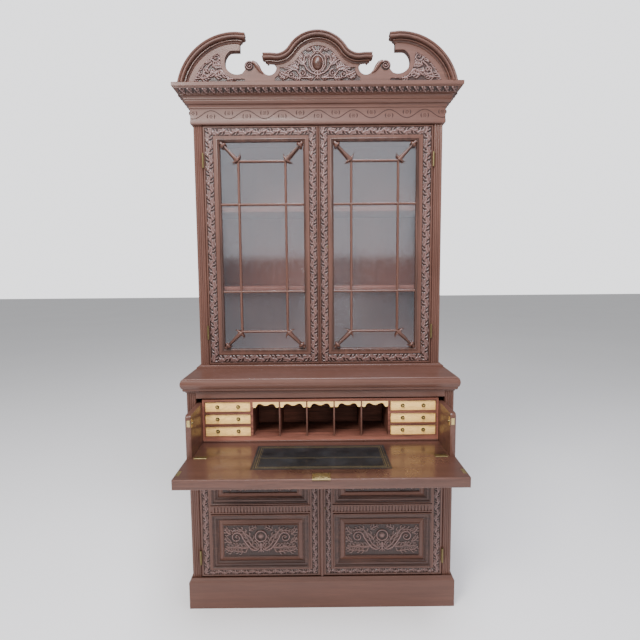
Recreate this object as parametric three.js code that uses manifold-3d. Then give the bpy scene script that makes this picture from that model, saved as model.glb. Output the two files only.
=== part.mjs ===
// Two-stage secretary desk: a lower carcass with cupboards and a pull-out
// secretary drawer, and a glazed bookcase with a swan-neck pediment above it.
// Millimetres, +Z up. X runs along the front, Y runs from the front to the back.
// Heights count from the floor. Depths count from the front face of the lower carcass.
import * as THREE from 'three';
import { mergeVertices } from 'three/addons/utils/BufferGeometryUtils.js';
import Module from 'manifold-3d';

const wasm = await Module();
wasm.setup();

// ---------------------------------------------------------------- driving dimensions
const GAP = 0.3;                    // clearance between pieces that touch
const BOARD = 22;                   // thickness of carcass boards and doors
const BACK_Y = 520;                 // back of both stages
const BACK_THICKNESS = 12;

const BASE_HALF = 566;              // half the width of the lower carcass
const BASE_STILE = 37.5;            // width of its reeded corner stiles
const PLINTH_TOP = 138;
const PLINTH_LEDGE = 115;           // the carcass stands on this ledge
const PLINTH_OVERHANG = 15;
const DUST_BOARD_Z = [679, 704];    // rail and board between cupboard and drawer
const FRIEZE_RAIL_Z = [940, 965.7];
const SLAB_Z = [966, 1027];         // moulded top of the lower stage

const UPPER_HALF = 557;             // half the width of the bookcase
const UPPER_FRONT = 219;            // its front face
const UPPER_STILE = 39;
const UPPER_Z = [1043, 2124];       // from the step strip to the frieze
const FRIEZE_TOP = 2195;
const CORNICE_TOP = 2285;
const CORNICE_OVERHANG = 72;

const LOWER_DOOR_Z = [141.5, 676];
const UPPER_DOOR_Z = [1045, 2121.5];
const MEETING_GAP = 1.5;            // half the gap between a pair of doors
const HINGE_GAP = 2;                // gap that holds a hinge leaf
const HINGE_FRONT = 7;              // hinge pin in front of the door's face
const HINGE_LENGTH = 64;

const WRITING_Z = 745;              // height of the writing surface
const PULL = 171;                   // how far the secretary drawer stands out at rest
const FLAP_LENGTH = 191;
const FLAP_THICKNESS = 38;
const FLAP_HALF = 527;
const LIP = [36, 7.8];              // height and thickness of the flap's bottom lip
const WING = 22;                    // thickness of the drawer's sides
const WING_Z = [716.5, 918];
const DRAWER_BACK_Y = 237;
const UNIT_FRONT = 10;              // front of the pigeonhole case
const UNIT_TOP = 932;
const LEATHER_HALF = 262.5;
const LEATHER_FRONT = 280;          // distance of its front edge before the carcass
const LEATHER_BACK = 40;

const SLOT_Z0 = 769.5;              // lowest small-drawer slot
const SLOT_HEIGHT = 43;
const SLOT_PITCH = 53.5;
const SLOT_X = [300, 494];
const HOLE_HALF = 289;              // half the width of the pigeonhole row
const HOLE_COUNT = 5;
const HOLE_DIVIDER = 6;

// ---------------------------------------------------------------- materials
function finish(color, roughness, metalness = 0) {
  return new THREE.MeshStandardMaterial({ color, roughness, metalness });
}
const OAK = finish(0x6a4a40, 0.42);
const OAK_DARK = finish(0x50342c, 0.5);
const MAPLE = finish(0xebc896, 0.4);
const LEATHER = finish(0x232326, 0.55);
const BRASS = finish(0xb09a5c, 0.3, 1);
const GLASS = finish(0xdfe8ea, 0.05);
GLASS.transparent = true;
GLASS.opacity = 0.35;

// ---------------------------------------------------------------- solids
// A closed geometry as a solid that can be joined and cut.
function solid(geometry) {
  const plain = geometry.clone();
  plain.deleteAttribute('normal');
  plain.deleteAttribute('uv');
  const merged = mergeVertices(plain, 1e-4);
  return new wasm.Manifold(new wasm.Mesh({
    numProp: 3,
    vertProperties: new Float32Array(merged.attributes.position.array),
    triVerts: new Uint32Array(merged.index.array),
  }));
}

function geometryOf(manifold) {
  const mesh = manifold.getMesh();
  const geometry = new THREE.BufferGeometry();
  geometry.setAttribute('position', new THREE.BufferAttribute(mesh.vertProperties, 3));
  geometry.setIndex(new THREE.BufferAttribute(mesh.triVerts, 1));
  return geometry;
}

const join = (...parts) => parts.reduce((whole, part) => whole.add(part));
const cut = (whole, ...tools) => tools.reduce((rest, tool) => rest.subtract(tool), whole);

// A box from its limits along each axis.
function block([x0, x1], [y0, y1], [z0, z1]) {
  const geometry = new THREE.BoxGeometry(Math.abs(x1 - x0), y1 - y0, z1 - z0);
  geometry.translate((x0 + x1) / 2, (y0 + y1) / 2, (z0 + z1) / 2);
  return solid(geometry);
}

// A moulded block: at each level [overhang, z] its front and both sides stand
// out by the overhang, with mitred corners, and its back stays flat.
function mouldedBlock(levels, half, front, back) {
  const steps = levels.length - 1;
  const geometry = new THREE.BoxGeometry(2, 2, 2, 1, 1, steps);
  const position = geometry.attributes.position;
  for (let i = 0; i < position.count; i += 1) {
    const [overhang, z] = levels[Math.round((position.getZ(i) + 1) * steps / 2)];
    const x = Math.sign(position.getX(i)) * (half + overhang);
    const y = position.getY(i) < 0 ? front - overhang : back;
    position.setXYZ(i, x, y, z);
  }
  return solid(geometry);
}

// An outline in X and Y raised from z0 to z1.
function raised(points, [z0, z1]) {
  const geometry = new THREE.ExtrudeGeometry(new THREE.Shape(points), { depth: z1 - z0, bevelEnabled: false });
  geometry.translate(0, 0, z0);
  return solid(geometry);
}

// An outline in X and Z, seen from the front, running from y0 back to y1.
function facing(shape, [y0, y1], curveSegments = 12) {
  const geometry = new THREE.ExtrudeGeometry(shape, { depth: y1 - y0, bevelEnabled: false, curveSegments });
  geometry.applyMatrix4(new THREE.Matrix4().makeBasis(
    new THREE.Vector3(1, 0, 0), new THREE.Vector3(0, 0, 1), new THREE.Vector3(0, -1, 0)));
  geometry.translate(0, y1, 0);
  return solid(geometry);
}

// A rod along X or Z.
function rod(axis, radius, length, [x, y, z], segments = 12) {
  const geometry = new THREE.CylinderGeometry(radius, radius, length, segments);
  if (axis === 'x') geometry.rotateZ(Math.PI / 2);
  if (axis === 'z') geometry.rotateX(Math.PI / 2);
  geometry.translate(x, y, z);
  return solid(geometry);
}

const mirrored = ([a, b], side) => (side < 0 ? [-b, -a] : [a, b]);
const sides = [['left', -1], ['right', 1]];

const desk = new THREE.Group();

function add(name, manifold, material) {
  const mesh = new THREE.Mesh(geometryOf(manifold), material);
  mesh.name = name;
  desk.add(mesh);
}

// ---------------------------------------------------------------- reeded stiles
// The outline of a case side seen from above: a board with a wider reeded
// stile on its front edge.
function sideOutline(half, front, stile, side) {
  const REEDS = 4;
  const REED_STEPS = 4;
  const margin = 3;
  const reed = (stile - 2 * margin) / REEDS;
  const points = [[half, front], [half, BACK_Y], [half - BOARD, BACK_Y]];
  points.push([half - BOARD, front + BOARD], [half - stile, front + BOARD], [half - stile, front]);
  for (let i = 0; i < REEDS; i += 1) {
    for (let k = 0; k < REED_STEPS; k += 1) {
      const x = half - stile + margin + reed * (i + k / REED_STEPS);
      const depth = 3 * (1 - Math.sin(Math.PI * k / REED_STEPS));
      points.push([x, front + depth]);
    }
  }
  points.push([half - margin, front]);
  return points.map(([x, y]) => new THREE.Vector2(side * x, y));
}

// ---------------------------------------------------------------- lower stage
function addLowerCase() {
  const ogee = [[15, 0], [15, 120], [13, 124], [9, 130], [6.5, 134], [6.5, PLINTH_TOP]];
  const ring = mouldedBlock(ogee, BASE_HALF, 0, BACK_Y);
  const seat = BASE_HALF + GAP;
  add('plinth', cut(
    ring,
    block([-seat, seat], [-GAP, BACK_Y + 1], [PLINTH_LEDGE, PLINTH_TOP + 1]),
    block([-545, 545], [20, BACK_Y - BOARD], [-1, PLINTH_LEDGE + 1]),
  ), OAK);

  const sideZ = [PLINTH_LEDGE + GAP, SLAB_Z[0] - GAP];
  for (const [word, side] of sides) {
    add(`base_${word}_side`, raised(sideOutline(BASE_HALF, 0, BASE_STILE, side), sideZ), OAK);
  }
  const inner = BASE_HALF - BOARD - GAP;
  const betweenStiles = BASE_HALF - BASE_STILE - GAP;
  const boardY = [BOARD + GAP, BACK_Y - BACK_THICKNESS - GAP];
  const bottomTop = PLINTH_TOP;
  add('base_back', block([-inner, inner], [BACK_Y - BACK_THICKNESS, BACK_Y], sideZ), OAK_DARK);
  add('base_bottom', block([-inner, inner], boardY, [PLINTH_LEDGE + GAP, bottomTop]), OAK_DARK);
  add('cupboard_shelf', block([-inner, inner], [60, boardY[1]], [400, 418]), OAK_DARK);

  const runnerZ = [DUST_BOARD_Z[1] - 1, WING_Z[0] - GAP];
  const runnerX = [FLAP_HALF - WING - 8, inner];
  add('dust_board', join(
    block([-betweenStiles, betweenStiles], [0, BOARD + 1], DUST_BOARD_Z),
    block([-inner, inner], boardY, [DUST_BOARD_Z[0] + 6, DUST_BOARD_Z[1]]),
    ...sides.map(([, side]) => block(mirrored(runnerX, side), [82, boardY[1]], runnerZ)),
  ), OAK_DARK);
  add('frieze_rail', block([-betweenStiles, betweenStiles], [0, BOARD], FRIEZE_RAIL_Z), OAK);

  const thumb = [[4, 966], [4, 971], [12, 976], [14, 980], [14, 984], [18, 986], [22, 992],
    [23, 1003], [22, 1014], [18, 1022], [12, SLAB_Z[1]]];
  add('base_top', mouldedBlock(thumb, BASE_HALF, 0, BACK_Y), OAK);
}

// ---------------------------------------------------------------- upper stage
function addUpperCase() {
  for (const [word, side] of sides) {
    const outline = sideOutline(UPPER_HALF, UPPER_FRONT, UPPER_STILE, side);
    add(`upper_${word}_side`, raised(outline, [UPPER_Z[0], UPPER_Z[1]]), OAK);
  }
  const inner = UPPER_HALF - BOARD - GAP;
  const boardY = [UPPER_FRONT + BOARD + GAP, BACK_Y - BACK_THICKNESS - GAP];
  add('upper_back', block([-inner, inner], [BACK_Y - BACK_THICKNESS, BACK_Y], UPPER_Z), OAK_DARK);

  const step = [[17, SLAB_Z[1] + GAP], [17, 1035], [13, 1038], [6, UPPER_Z[0] - GAP]];
  add('upper_bottom', mouldedBlock(step, UPPER_HALF, UPPER_FRONT, BACK_Y), OAK);
  const topZ = UPPER_DOOR_Z[1];
  add('upper_top', block([-inner, inner], boardY, [topZ - 18, topZ]), OAK_DARK);

  const shelfY = [UPPER_FRONT + BOARD + 10, boardY[1]];
  add('lower_bookshelf', block([-inner, inner], shelfY, [1384, 1406]), OAK_DARK);
  add('upper_bookshelf', block([-inner, inner], shelfY, [1748, 1770]), OAK_DARK);

  const frieze = [[2, UPPER_Z[1] + GAP], [8, 2126], [11, 2130], [11, 2141], [10, 2146],
    [10, 2192], [13, FRIEZE_TOP]];
  const hollowHalf = UPPER_HALF - BOARD;
  const hollowY = [UPPER_FRONT + BOARD, BACK_Y - BOARD];
  add('frieze_board', cut(
    mouldedBlock(frieze, UPPER_HALF, UPPER_FRONT, BACK_Y),
    block([-hollowHalf, hollowHalf], hollowY, [UPPER_Z[1] - 1, FRIEZE_TOP + 1]),
  ), OAK);

  const cornice = [[14, FRIEZE_TOP + GAP], [18, 2200], [20, 2209], [25, 2211], [29, 2226],
    [34, 2229], [36, 2240], [42, 2245], [66, 2263], [CORNICE_OVERHANG, 2268],
    [CORNICE_OVERHANG, CORNICE_TOP]];
  add('cornice', cut(
    mouldedBlock(cornice, UPPER_HALF, UPPER_FRONT, BACK_Y),
    block([-hollowHalf, hollowHalf], hollowY, [FRIEZE_TOP - 1, CORNICE_TOP - 14]),
  ), OAK);
}

// ---------------------------------------------------------------- pediment
// Heights in this section count from the cornice. The outlines are drawn for
// the left half and mirrored.
const HORN = { x: -348, z: -59, radius: 261, tip: -325 };
const ARCH = { end: -237, flat: 115, neckX: -178, neckRadius: 65, crownZ: 59.5, crownRadius: 150 };
const MOULDING = 48;                // width of the horn and arch mouldings
const BAY = { x: -340, z: 87.5, radius: 51 };
const SCROLL = { x: -293, z: 59.6, radius: 21.5 };
const SMALL_BAY = { x: -209, z: 52, radius: 31.5 };
const ARC_STEPS = 14;

const hornAngle = (radius, x) => Math.acos((x - HORN.x) / radius);
const hornFoot = (radius) => Math.PI - Math.asin(-HORN.z / radius);

// The crown and neck of the arch, offset inwards by inset, from its left end to the centre.
function archHalf(path, inset) {
  const joint = Math.atan2(ARCH.flat + ARCH.neckRadius - ARCH.crownZ, ARCH.neckX);
  path.lineTo(ARCH.neckX, ARCH.flat - inset);
  path.absarc(ARCH.neckX, ARCH.flat + ARCH.neckRadius, ARCH.neckRadius + inset,
    -Math.PI / 2, joint - Math.PI, false);
  path.absarc(0, ARCH.crownZ, ARCH.crownRadius - inset, joint, Math.PI / 2, true);
  return path;
}

const mirrorPoints = (points) => points.map((p) => new THREE.Vector2(-p.x, p.y)).reverse();
const lifted = (points) => points.map((p) => new THREE.Vector2(p.x, p.y + CORNICE_TOP + GAP));

function pedimentOutline() {
  const behind = 11;                // the board stops this far inside the mouldings
  const radius = HORN.radius - behind;
  const path = new THREE.Path();
  path.moveTo(HORN.x + radius * Math.cos(hornFoot(radius)), 0);
  path.absarc(HORN.x, HORN.z, radius, hornFoot(radius), hornAngle(radius, -331), true);
  path.lineTo(-331, 126);
  path.absarc(BAY.x, BAY.z, BAY.radius, Math.PI * 0.72, Math.PI * 1.5, false);
  path.lineTo(-316, 37.5);
  path.absarc(SCROLL.x, SCROLL.z, SCROLL.radius, Math.PI * 1.22, Math.PI * 0.22, true);
  path.absarc(SMALL_BAY.x, SMALL_BAY.z, SMALL_BAY.radius, Math.PI * 1.22, Math.PI * 2.06, false);
  path.lineTo(-190, ARCH.flat - behind);
  archHalf(path, behind);
  const half = path.getPoints(ARC_STEPS);
  return lifted([...half, ...mirrorPoints(half)]);
}

function archOutline() {
  const outer = new THREE.Path();
  outer.moveTo(ARCH.end, ARCH.flat);
  const inner = new THREE.Path();
  inner.moveTo(ARCH.end + MOULDING, ARCH.flat - MOULDING);
  const top = archHalf(outer, 0).getPoints(ARC_STEPS);
  const bottom = archHalf(inner, MOULDING).getPoints(ARC_STEPS);
  return lifted([...top, ...mirrorPoints(top), ...bottom.map((p) => new THREE.Vector2(-p.x, p.y)),
    ...bottom.slice().reverse()]);
}

function hornOutline() {
  const innerRadius = HORN.radius - MOULDING;
  const path = new THREE.Path();
  path.moveTo(HORN.x + HORN.radius * Math.cos(hornFoot(HORN.radius)), 0);
  path.absarc(HORN.x, HORN.z, HORN.radius, hornFoot(HORN.radius), hornAngle(HORN.radius, HORN.tip), true);
  path.absarc(HORN.x, HORN.z, innerRadius, hornAngle(innerRadius, HORN.tip - 14), hornFoot(innerRadius), false);
  return lifted(path.getPoints(ARC_STEPS));
}

function withoutRepeats(points) {
  const kept = points.filter((p, i) => p.distanceTo(points[(i + 1) % points.length]) > 0.05);
  return new THREE.Shape(kept);
}

function addPediment() {
  const mouldingY = [150, 172 - GAP];
  add('pediment_board', facing(withoutRepeats(pedimentOutline()), [172, 200]), OAK);
  add('centre_arch', facing(withoutRepeats(archOutline()), mouldingY), OAK);
  const horn = hornOutline();
  add('left_horn', facing(withoutRepeats(horn), mouldingY), OAK);
  add('right_horn', facing(withoutRepeats(mirrorPoints(horn)), mouldingY), OAK);
}

// ---------------------------------------------------------------- doors
function rectangle([x0, x1], [z0, z1]) {
  return [[x0, z0], [x1, z0], [x1, z1], [x0, z1]].map(([x, z]) => new THREE.Vector2(x, z));
}

function frameShape(outerX, outerZ, openings) {
  const shape = new THREE.Shape(rectangle(outerX, outerZ));
  for (const [x, z] of openings) {
    shape.holes.push(new THREE.Path(rectangle(x, z)));
  }
  return shape;
}

const grown = ([low, high], by) => [low - by, high + by];

// A hinge fixed to the case: a round barrel in front of the door, with its leaf
// in the gap beside the door's edge.
function hinge(side, doorEdge, front, z) {
  const pinX = side * (doorEdge + HINGE_GAP / 2);
  const span = [z - HINGE_LENGTH / 2, z + HINGE_LENGTH / 2];
  return join(
    rod('z', 4.5, HINGE_LENGTH, [pinX, front - HINGE_FRONT, z], 10),
    block([pinX - 0.6, pinX + 0.6], [front - HINGE_FRONT, front + BOARD - 3], span),
  );
}

function addHinges(stage, doorEdge, front, [z0, z1], inset) {
  for (const [word, side] of sides) {
    add(`${stage}_${word}_top_hinge`, hinge(side, doorEdge, front, z1 - inset), BRASS);
    add(`${stage}_${word}_bottom_hinge`, hinge(side, doorEdge, front, z0 + inset), BRASS);
  }
}

function addLowerDoors() {
  const edge = BASE_HALF - BASE_STILE - HINGE_GAP;
  const openingX = [55, 475];
  const panels = [['upper', [473, 646]], ['lower', [182, 423]]];
  const rebate = 8;
  for (const [word, side] of sides) {
    const doorX = mirrored([word === 'right' ? -6.5 : 8, edge], side);
    const holes = panels.map(([, z]) => [mirrored(openingX, side), z]);
    let frame = facing(frameShape(doorX, LOWER_DOOR_Z, holes), [0, BOARD]);
    for (const [x, z] of holes) {
      frame = cut(frame, block(grown(x, rebate), [10, BOARD + 1], grown(z, rebate)));
    }
    add(`lower_${word}_door_frame`, frame, OAK);
    for (const [level, z] of panels) {
      const slab = grown(mirrored(openingX, side), rebate - GAP);
      add(`lower_${word}_door_${level}_panel`, join(
        block(slab, [10 + GAP, 19], grown(z, rebate - GAP)),
        block(grown(slab, -40), [5, 12], grown(z, -32)),
      ), OAK);
    }
  }
  addHinges('lower', edge, 0, LOWER_DOOR_Z, 90);
}

const GLAZING = { x: [68, 442.5], z: [1116.5, 2054.5] };
const BARS = { x: [149, 363.5], z: [1195, 1970.5], cross: [1382, 1779], width: 7 };

// Glazing bars: an inner rectangle, two rails across the whole door and a
// diagonal bar into each corner.
function glazingBars() {
  const half = BARS.width / 2;
  const y = [UPPER_FRONT + 3, UPPER_FRONT + 13];
  const bars = [];
  for (const x of BARS.x) bars.push(block([x - half, x + half], y, grown(BARS.z, half)));
  for (const z of BARS.z) bars.push(block(BARS.x, y, [z - half, z + half]));
  for (const z of BARS.cross) bars.push(block(grown(GLAZING.x, -GAP), y, [z - half, z + half]));
  for (const i of [0, 1]) {
    for (const k of [0, 1]) {
      const from = new THREE.Vector2(BARS.x[i], BARS.z[k]);
      const to = new THREE.Vector2(GLAZING.x[i], GLAZING.z[k]);
      const along = to.clone().sub(from).normalize();
      const across = new THREE.Vector2(-along.y, along.x).multiplyScalar(6);
      to.addScaledVector(along, -8);
      const corners = [from.clone().add(across), from.clone().sub(across),
        to.clone().sub(across), to.clone().add(across)];
      bars.push(facing(new THREE.Shape(corners), y));
    }
  }
  return join(...bars);
}

function mirrorSolid(manifold, side) {
  if (side > 0) return manifold;
  const geometry = geometryOf(manifold);
  geometry.scale(-1, 1, 1);
  const index = geometry.index.array;
  for (let i = 0; i < index.length; i += 3) [index[i], index[i + 1]] = [index[i + 1], index[i]];
  return solid(geometry);
}

function addUpperDoors() {
  const edge = UPPER_HALF - UPPER_STILE - HINGE_GAP;
  const rebate = 7;
  const glassY = [UPPER_FRONT + 13.3, UPPER_FRONT + 16.3];
  const frameY = [UPPER_FRONT, UPPER_FRONT + BOARD];
  const frameShapeOf = frameShape([MEETING_GAP, edge], UPPER_DOOR_Z, [[GLAZING.x, GLAZING.z]]);
  const frame = cut(
    facing(frameShapeOf, frameY),
    block(grown(GLAZING.x, rebate), [UPPER_FRONT + 13, frameY[1] + 1], grown(GLAZING.z, rebate)),
  );
  const glass = block(grown(GLAZING.x, rebate - GAP), glassY, grown(GLAZING.z, rebate - GAP));
  const bars = glazingBars();
  for (const [word, side] of sides) {
    add(`upper_${word}_door_frame`, mirrorSolid(frame, side), OAK);
    add(`upper_${word}_door_glass`, mirrorSolid(glass, side), GLASS);
    add(`upper_${word}_glazing_bars`, mirrorSolid(bars, side), OAK);
  }
  addHinges('upper', edge, UPPER_FRONT, UPPER_DOOR_Z, 150);
}

// ---------------------------------------------------------------- secretary drawer
const FLAP_HINGE_X = [448, 498];
const PIN_RADIUS = 3.2;

function wing(side) {
  const [z0, z1] = WING_Z;
  const CORNER = 12;
  const outline = new THREE.Shape();
  outline.moveTo(-PULL, z0);
  outline.lineTo(DRAWER_BACK_Y, z0);
  outline.lineTo(DRAWER_BACK_Y, z1);
  outline.lineTo(CORNER - PULL, z1);
  outline.absarc(CORNER - PULL, z1 - CORNER, CORNER, Math.PI / 2, Math.PI, false);
  const geometry = new THREE.ExtrudeGeometry(outline, { depth: WING, bevelEnabled: false, curveSegments: 5 });
  geometry.applyMatrix4(new THREE.Matrix4().makeBasis(
    new THREE.Vector3(0, 1, 0), new THREE.Vector3(0, 0, 1), new THREE.Vector3(1, 0, 0)));
  geometry.translate(side > 0 ? FLAP_HALF - WING : -FLAP_HALF, 0, 0);
  return solid(geometry);
}

function addSecretaryDrawer() {
  const inner = FLAP_HALF - WING - GAP;
  for (const [word, side] of sides) add(`drawer_${word}_wing`, wing(side), OAK);

  const pinNotch = sides.map(([, side]) => block(
    mirrored(grown(FLAP_HINGE_X, 1), side), grown([-PULL, -PULL], 4.5), [WRITING_Z - 4.5, WRITING_Z + 5]));
  const leafNotch = sides.map(([, side]) => block(
    mirrored(grown(FLAP_HINGE_X, GAP), side), [-PULL, 24 - PULL], [WRITING_Z - 1.8, WRITING_Z + 1]));
  const leatherNotch = block(grown([-LEATHER_HALF, LEATHER_HALF], GAP),
    [-PULL - 1, GAP - LEATHER_BACK], [WRITING_Z - 1.5, WRITING_Z + 1]);
  add('drawer_bottom', cut(
    block([-inner, inner], [-PULL, 224.7], [725, WRITING_Z]), leatherNotch, ...pinNotch, ...leafNotch,
  ), OAK);
  add('drawer_back', block([-inner, inner], [225, DRAWER_BACK_Y], WING_Z), OAK_DARK);
  add('drawer_leather', block([-LEATHER_HALF, LEATHER_HALF],
    [1 - PULL, -LEATHER_BACK], [WRITING_Z - 1.2, WRITING_Z]), LEATHER);
  for (const [word, side] of sides) {
    add(`${word}_flap_hinge`, join(
      rod('x', PIN_RADIUS, FLAP_HINGE_X[1] - FLAP_HINGE_X[0],
        [side * (FLAP_HINGE_X[0] + FLAP_HINGE_X[1]) / 2, -PULL, WRITING_Z], 10),
      block(mirrored(FLAP_HINGE_X, side), [-PULL, 23.7 - PULL], [WRITING_Z - 1.5, WRITING_Z]),
    ), BRASS);
  }
}

const LOCK = { half: 32.5, depth: 50, height: 10 };

function addFlap() {
  const hingeY = -PULL - GAP;
  const front = -PULL - FLAP_LENGTH;
  const bottom = WRITING_Z - FLAP_THICKNESS;
  const board = join(
    block([-FLAP_HALF, FLAP_HALF], [front, hingeY], [bottom, WRITING_Z]),
    block([-FLAP_HALF, FLAP_HALF], [hingeY - 1, hingeY + LIP[0]], [bottom, bottom + LIP[1]]),
  );
  const pins = sides.map(([, side]) => block(
    mirrored(grown(FLAP_HINGE_X, 1), side), grown([-PULL, -PULL], 5), [WRITING_Z - 5, WRITING_Z + 5]));
  const lockX = [-LOCK.half, LOCK.half];
  add('fall_flap', cut(
    board,
    block(grown(lockX, GAP), [front - 1, front + LOCK.depth + GAP],
      [WRITING_Z - LOCK.height - GAP, WRITING_Z + 1]),
    block(grown([-LEATHER_HALF, LEATHER_HALF], GAP), [-LEATHER_FRONT - GAP, -PULL + 1],
      [WRITING_Z - 1.5, WRITING_Z + 1]),
    ...pins,
  ), OAK);
  add('flap_leather', block([-LEATHER_HALF, LEATHER_HALF], [-LEATHER_FRONT, -PULL - 1],
    [WRITING_Z - 1.2, WRITING_Z]), LEATHER);
  add('flap_lock', block(lockX, [front, front + LOCK.depth], [WRITING_Z - LOCK.height, WRITING_Z]), BRASS);
}

// ---------------------------------------------------------------- pigeonhole case
const HOLE_WIDTH = (2 * HOLE_HALF - (HOLE_COUNT - 1) * HOLE_DIVIDER) / HOLE_COUNT;
const ROW_Z = [SLOT_Z0, SLOT_Z0 + 2 * SLOT_PITCH + SLOT_HEIGHT];
const POCKET_BACK = 205;
const VALANCE = { depth: 4, drop: 25 };

const holeStart = (i) => -HOLE_HALF + i * (HOLE_WIDTH + HOLE_DIVIDER);

function addPigeonholeCase() {
  const half = FLAP_HALF - WING - 2 * GAP;
  const pocketY = [UNIT_FRONT - 1, POCKET_BACK];
  const pockets = [];
  for (let i = 0; i < HOLE_COUNT; i += 1) {
    pockets.push(block([holeStart(i), holeStart(i) + HOLE_WIDTH], pocketY, ROW_Z));
  }
  for (const [, side] of sides) {
    for (let row = 0; row < 3; row += 1) {
      const z = SLOT_Z0 + row * SLOT_PITCH;
      pockets.push(block(mirrored(SLOT_X, side), pocketY, [z, z + SLOT_HEIGHT]));
    }
  }
  pockets.push(block([-HOLE_HALF, HOLE_HALF], [UNIT_FRONT - 1, UNIT_FRONT + VALANCE.depth + GAP],
    [ROW_Z[1] - VALANCE.drop - GAP, ROW_Z[1]]));
  add('pigeonhole_case', cut(
    block([-half, half], [UNIT_FRONT, 224.7], [WRITING_Z + GAP, UNIT_TOP]), ...pockets,
  ), OAK_DARK);

  const top = ROW_Z[1] - GAP;
  const valance = new THREE.Shape();
  valance.moveTo(-HOLE_HALF + GAP, top);
  valance.lineTo(-HOLE_HALF + GAP, ROW_Z[1] - VALANCE.drop);
  for (let i = 0; i < HOLE_COUNT; i += 1) {
    const middle = holeStart(i) + HOLE_WIDTH / 2;
    const low = ROW_Z[1] - VALANCE.drop;
    valance.lineTo(middle - HOLE_WIDTH / 2 + 8, low);
    valance.quadraticCurveTo(middle - 26, low + 2, middle - 24, low + 9);
    valance.quadraticCurveTo(middle - 12, low + 10, middle, low + 18);
    valance.quadraticCurveTo(middle + 12, low + 10, middle + 24, low + 9);
    valance.quadraticCurveTo(middle + 26, low + 2, middle + HOLE_WIDTH / 2 - 8, low);
  }
  valance.lineTo(HOLE_HALF - GAP, ROW_Z[1] - VALANCE.drop);
  valance.lineTo(HOLE_HALF - GAP, top);
  add('pigeonhole_valances', facing(valance, [UNIT_FRONT + GAP, UNIT_FRONT + VALANCE.depth], 4), MAPLE);
}

function knob(x, y, z) {
  const profile = [[0, 0], [6, 0], [5.5, -1.5], [2.2, -3], [2.2, -5], [4.6, -7], [4.2, -9.5], [0, -10.5]];
  const geometry = new THREE.LatheGeometry(profile.map(([r, h]) => new THREE.Vector2(r, -h)), 10);
  geometry.rotateX(Math.PI / 2);
  geometry.translate(x, y + 0.5, z);
  return solid(geometry);
}

function addSmallDrawers() {
  const PLAY = 0.7;
  const FRONT = 8;
  const WALL = 5;
  const KNOB_OFFSET = 44.5;
  const rows = ['bottom', 'middle', 'top'];
  for (const [word, side] of sides) {
    rows.forEach((row, i) => {
      const x = grown(mirrored(SLOT_X, side), -PLAY);
      const z = [SLOT_Z0 + i * SLOT_PITCH + PLAY, SLOT_Z0 + i * SLOT_PITCH + SLOT_HEIGHT - PLAY];
      const y = [UNIT_FRONT + 0.5, POCKET_BACK - 5];
      const middle = (x[0] + x[1]) / 2;
      const height = (z[0] + z[1]) / 2;
      add(`${word}_${row}_small_drawer`, join(
        cut(block(x, y, z), block(grown(x, -WALL), [y[0] + FRONT, y[1] - WALL], [z[0] + 4, z[1] + 1])),
        knob(middle - KNOB_OFFSET, y[0], height),
        knob(middle + KNOB_OFFSET, y[0], height),
      ), MAPLE);
    });
  }
}

addLowerCase();
addUpperCase();
addPediment();
addLowerDoors();
addUpperDoors();
addSecretaryDrawer();
addFlap();
addPigeonholeCase();
addSmallDrawers();

// The origin is the middle of the footprint of the whole desk at rest, on the floor.
desk.position.y = -(BACK_Y - PULL - FLAP_LENGTH) / 2;

export default desk;
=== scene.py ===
"""Looks of the carved secretary desk, laid out as a Blender add-on and run as a script."""
import math

import bmesh
import bpy
import numpy as np
from mathutils import Matrix, Vector


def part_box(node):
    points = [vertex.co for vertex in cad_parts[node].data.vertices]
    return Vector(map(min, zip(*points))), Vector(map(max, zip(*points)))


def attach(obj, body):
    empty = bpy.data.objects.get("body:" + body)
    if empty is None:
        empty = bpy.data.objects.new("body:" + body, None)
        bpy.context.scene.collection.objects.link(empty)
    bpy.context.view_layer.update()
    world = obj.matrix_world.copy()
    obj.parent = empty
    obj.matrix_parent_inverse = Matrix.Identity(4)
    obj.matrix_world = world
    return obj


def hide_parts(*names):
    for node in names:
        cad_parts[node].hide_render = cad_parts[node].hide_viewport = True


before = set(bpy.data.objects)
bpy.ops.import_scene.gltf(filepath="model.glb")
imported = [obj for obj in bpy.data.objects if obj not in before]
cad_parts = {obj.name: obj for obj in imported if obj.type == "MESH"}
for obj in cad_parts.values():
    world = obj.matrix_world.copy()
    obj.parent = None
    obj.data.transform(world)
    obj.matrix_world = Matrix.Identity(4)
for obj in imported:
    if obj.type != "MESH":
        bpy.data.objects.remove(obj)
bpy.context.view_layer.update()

bl_info = {
    "name": "Carved secretary desk",
    "version": (1, 0, 0),
    "blender": (4, 5, 0),
    "location": "3D View > Sidebar > Desk",
    "description": "Builds the mouldings, carving and fittings of a secretary desk around its frame",
    "category": "Object",
}

CARCASS_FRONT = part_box("base_left_side")[0].y
CASE_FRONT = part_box("upper_left_side")[0].y
CORNICE_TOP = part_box("cornice")[1].z
WRITING_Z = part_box("drawer_leather")[1].z
HINGE_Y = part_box("drawer_left_wing")[0].y
SIDES = (("left", -1), ("right", 1))
MATERIALS = {}

UPPER_RELIEF_GROUND = 0.0031        # how far the leaf ground of the glazed doors lies behind their face
LOWER_RELIEF_GROUND = 0.0029        # the same on the cupboard doors
GLAZING_CROSS_BARS = (1.382, 1.779)
GLAZING_BAR_WIDTH = 0.0105
UPPER_KEYHOLE = (0.0385, 1.585)     # x and height
LOWER_KEYHOLE = (0.0185, 0.449)
CATCH_Z = 0.885                     # height of the flap's catches on the drawer sides
DIVIDER_EDGE_Z = (0.7690, 0.9200)   # foot and top of the edges between pigeonholes


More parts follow.
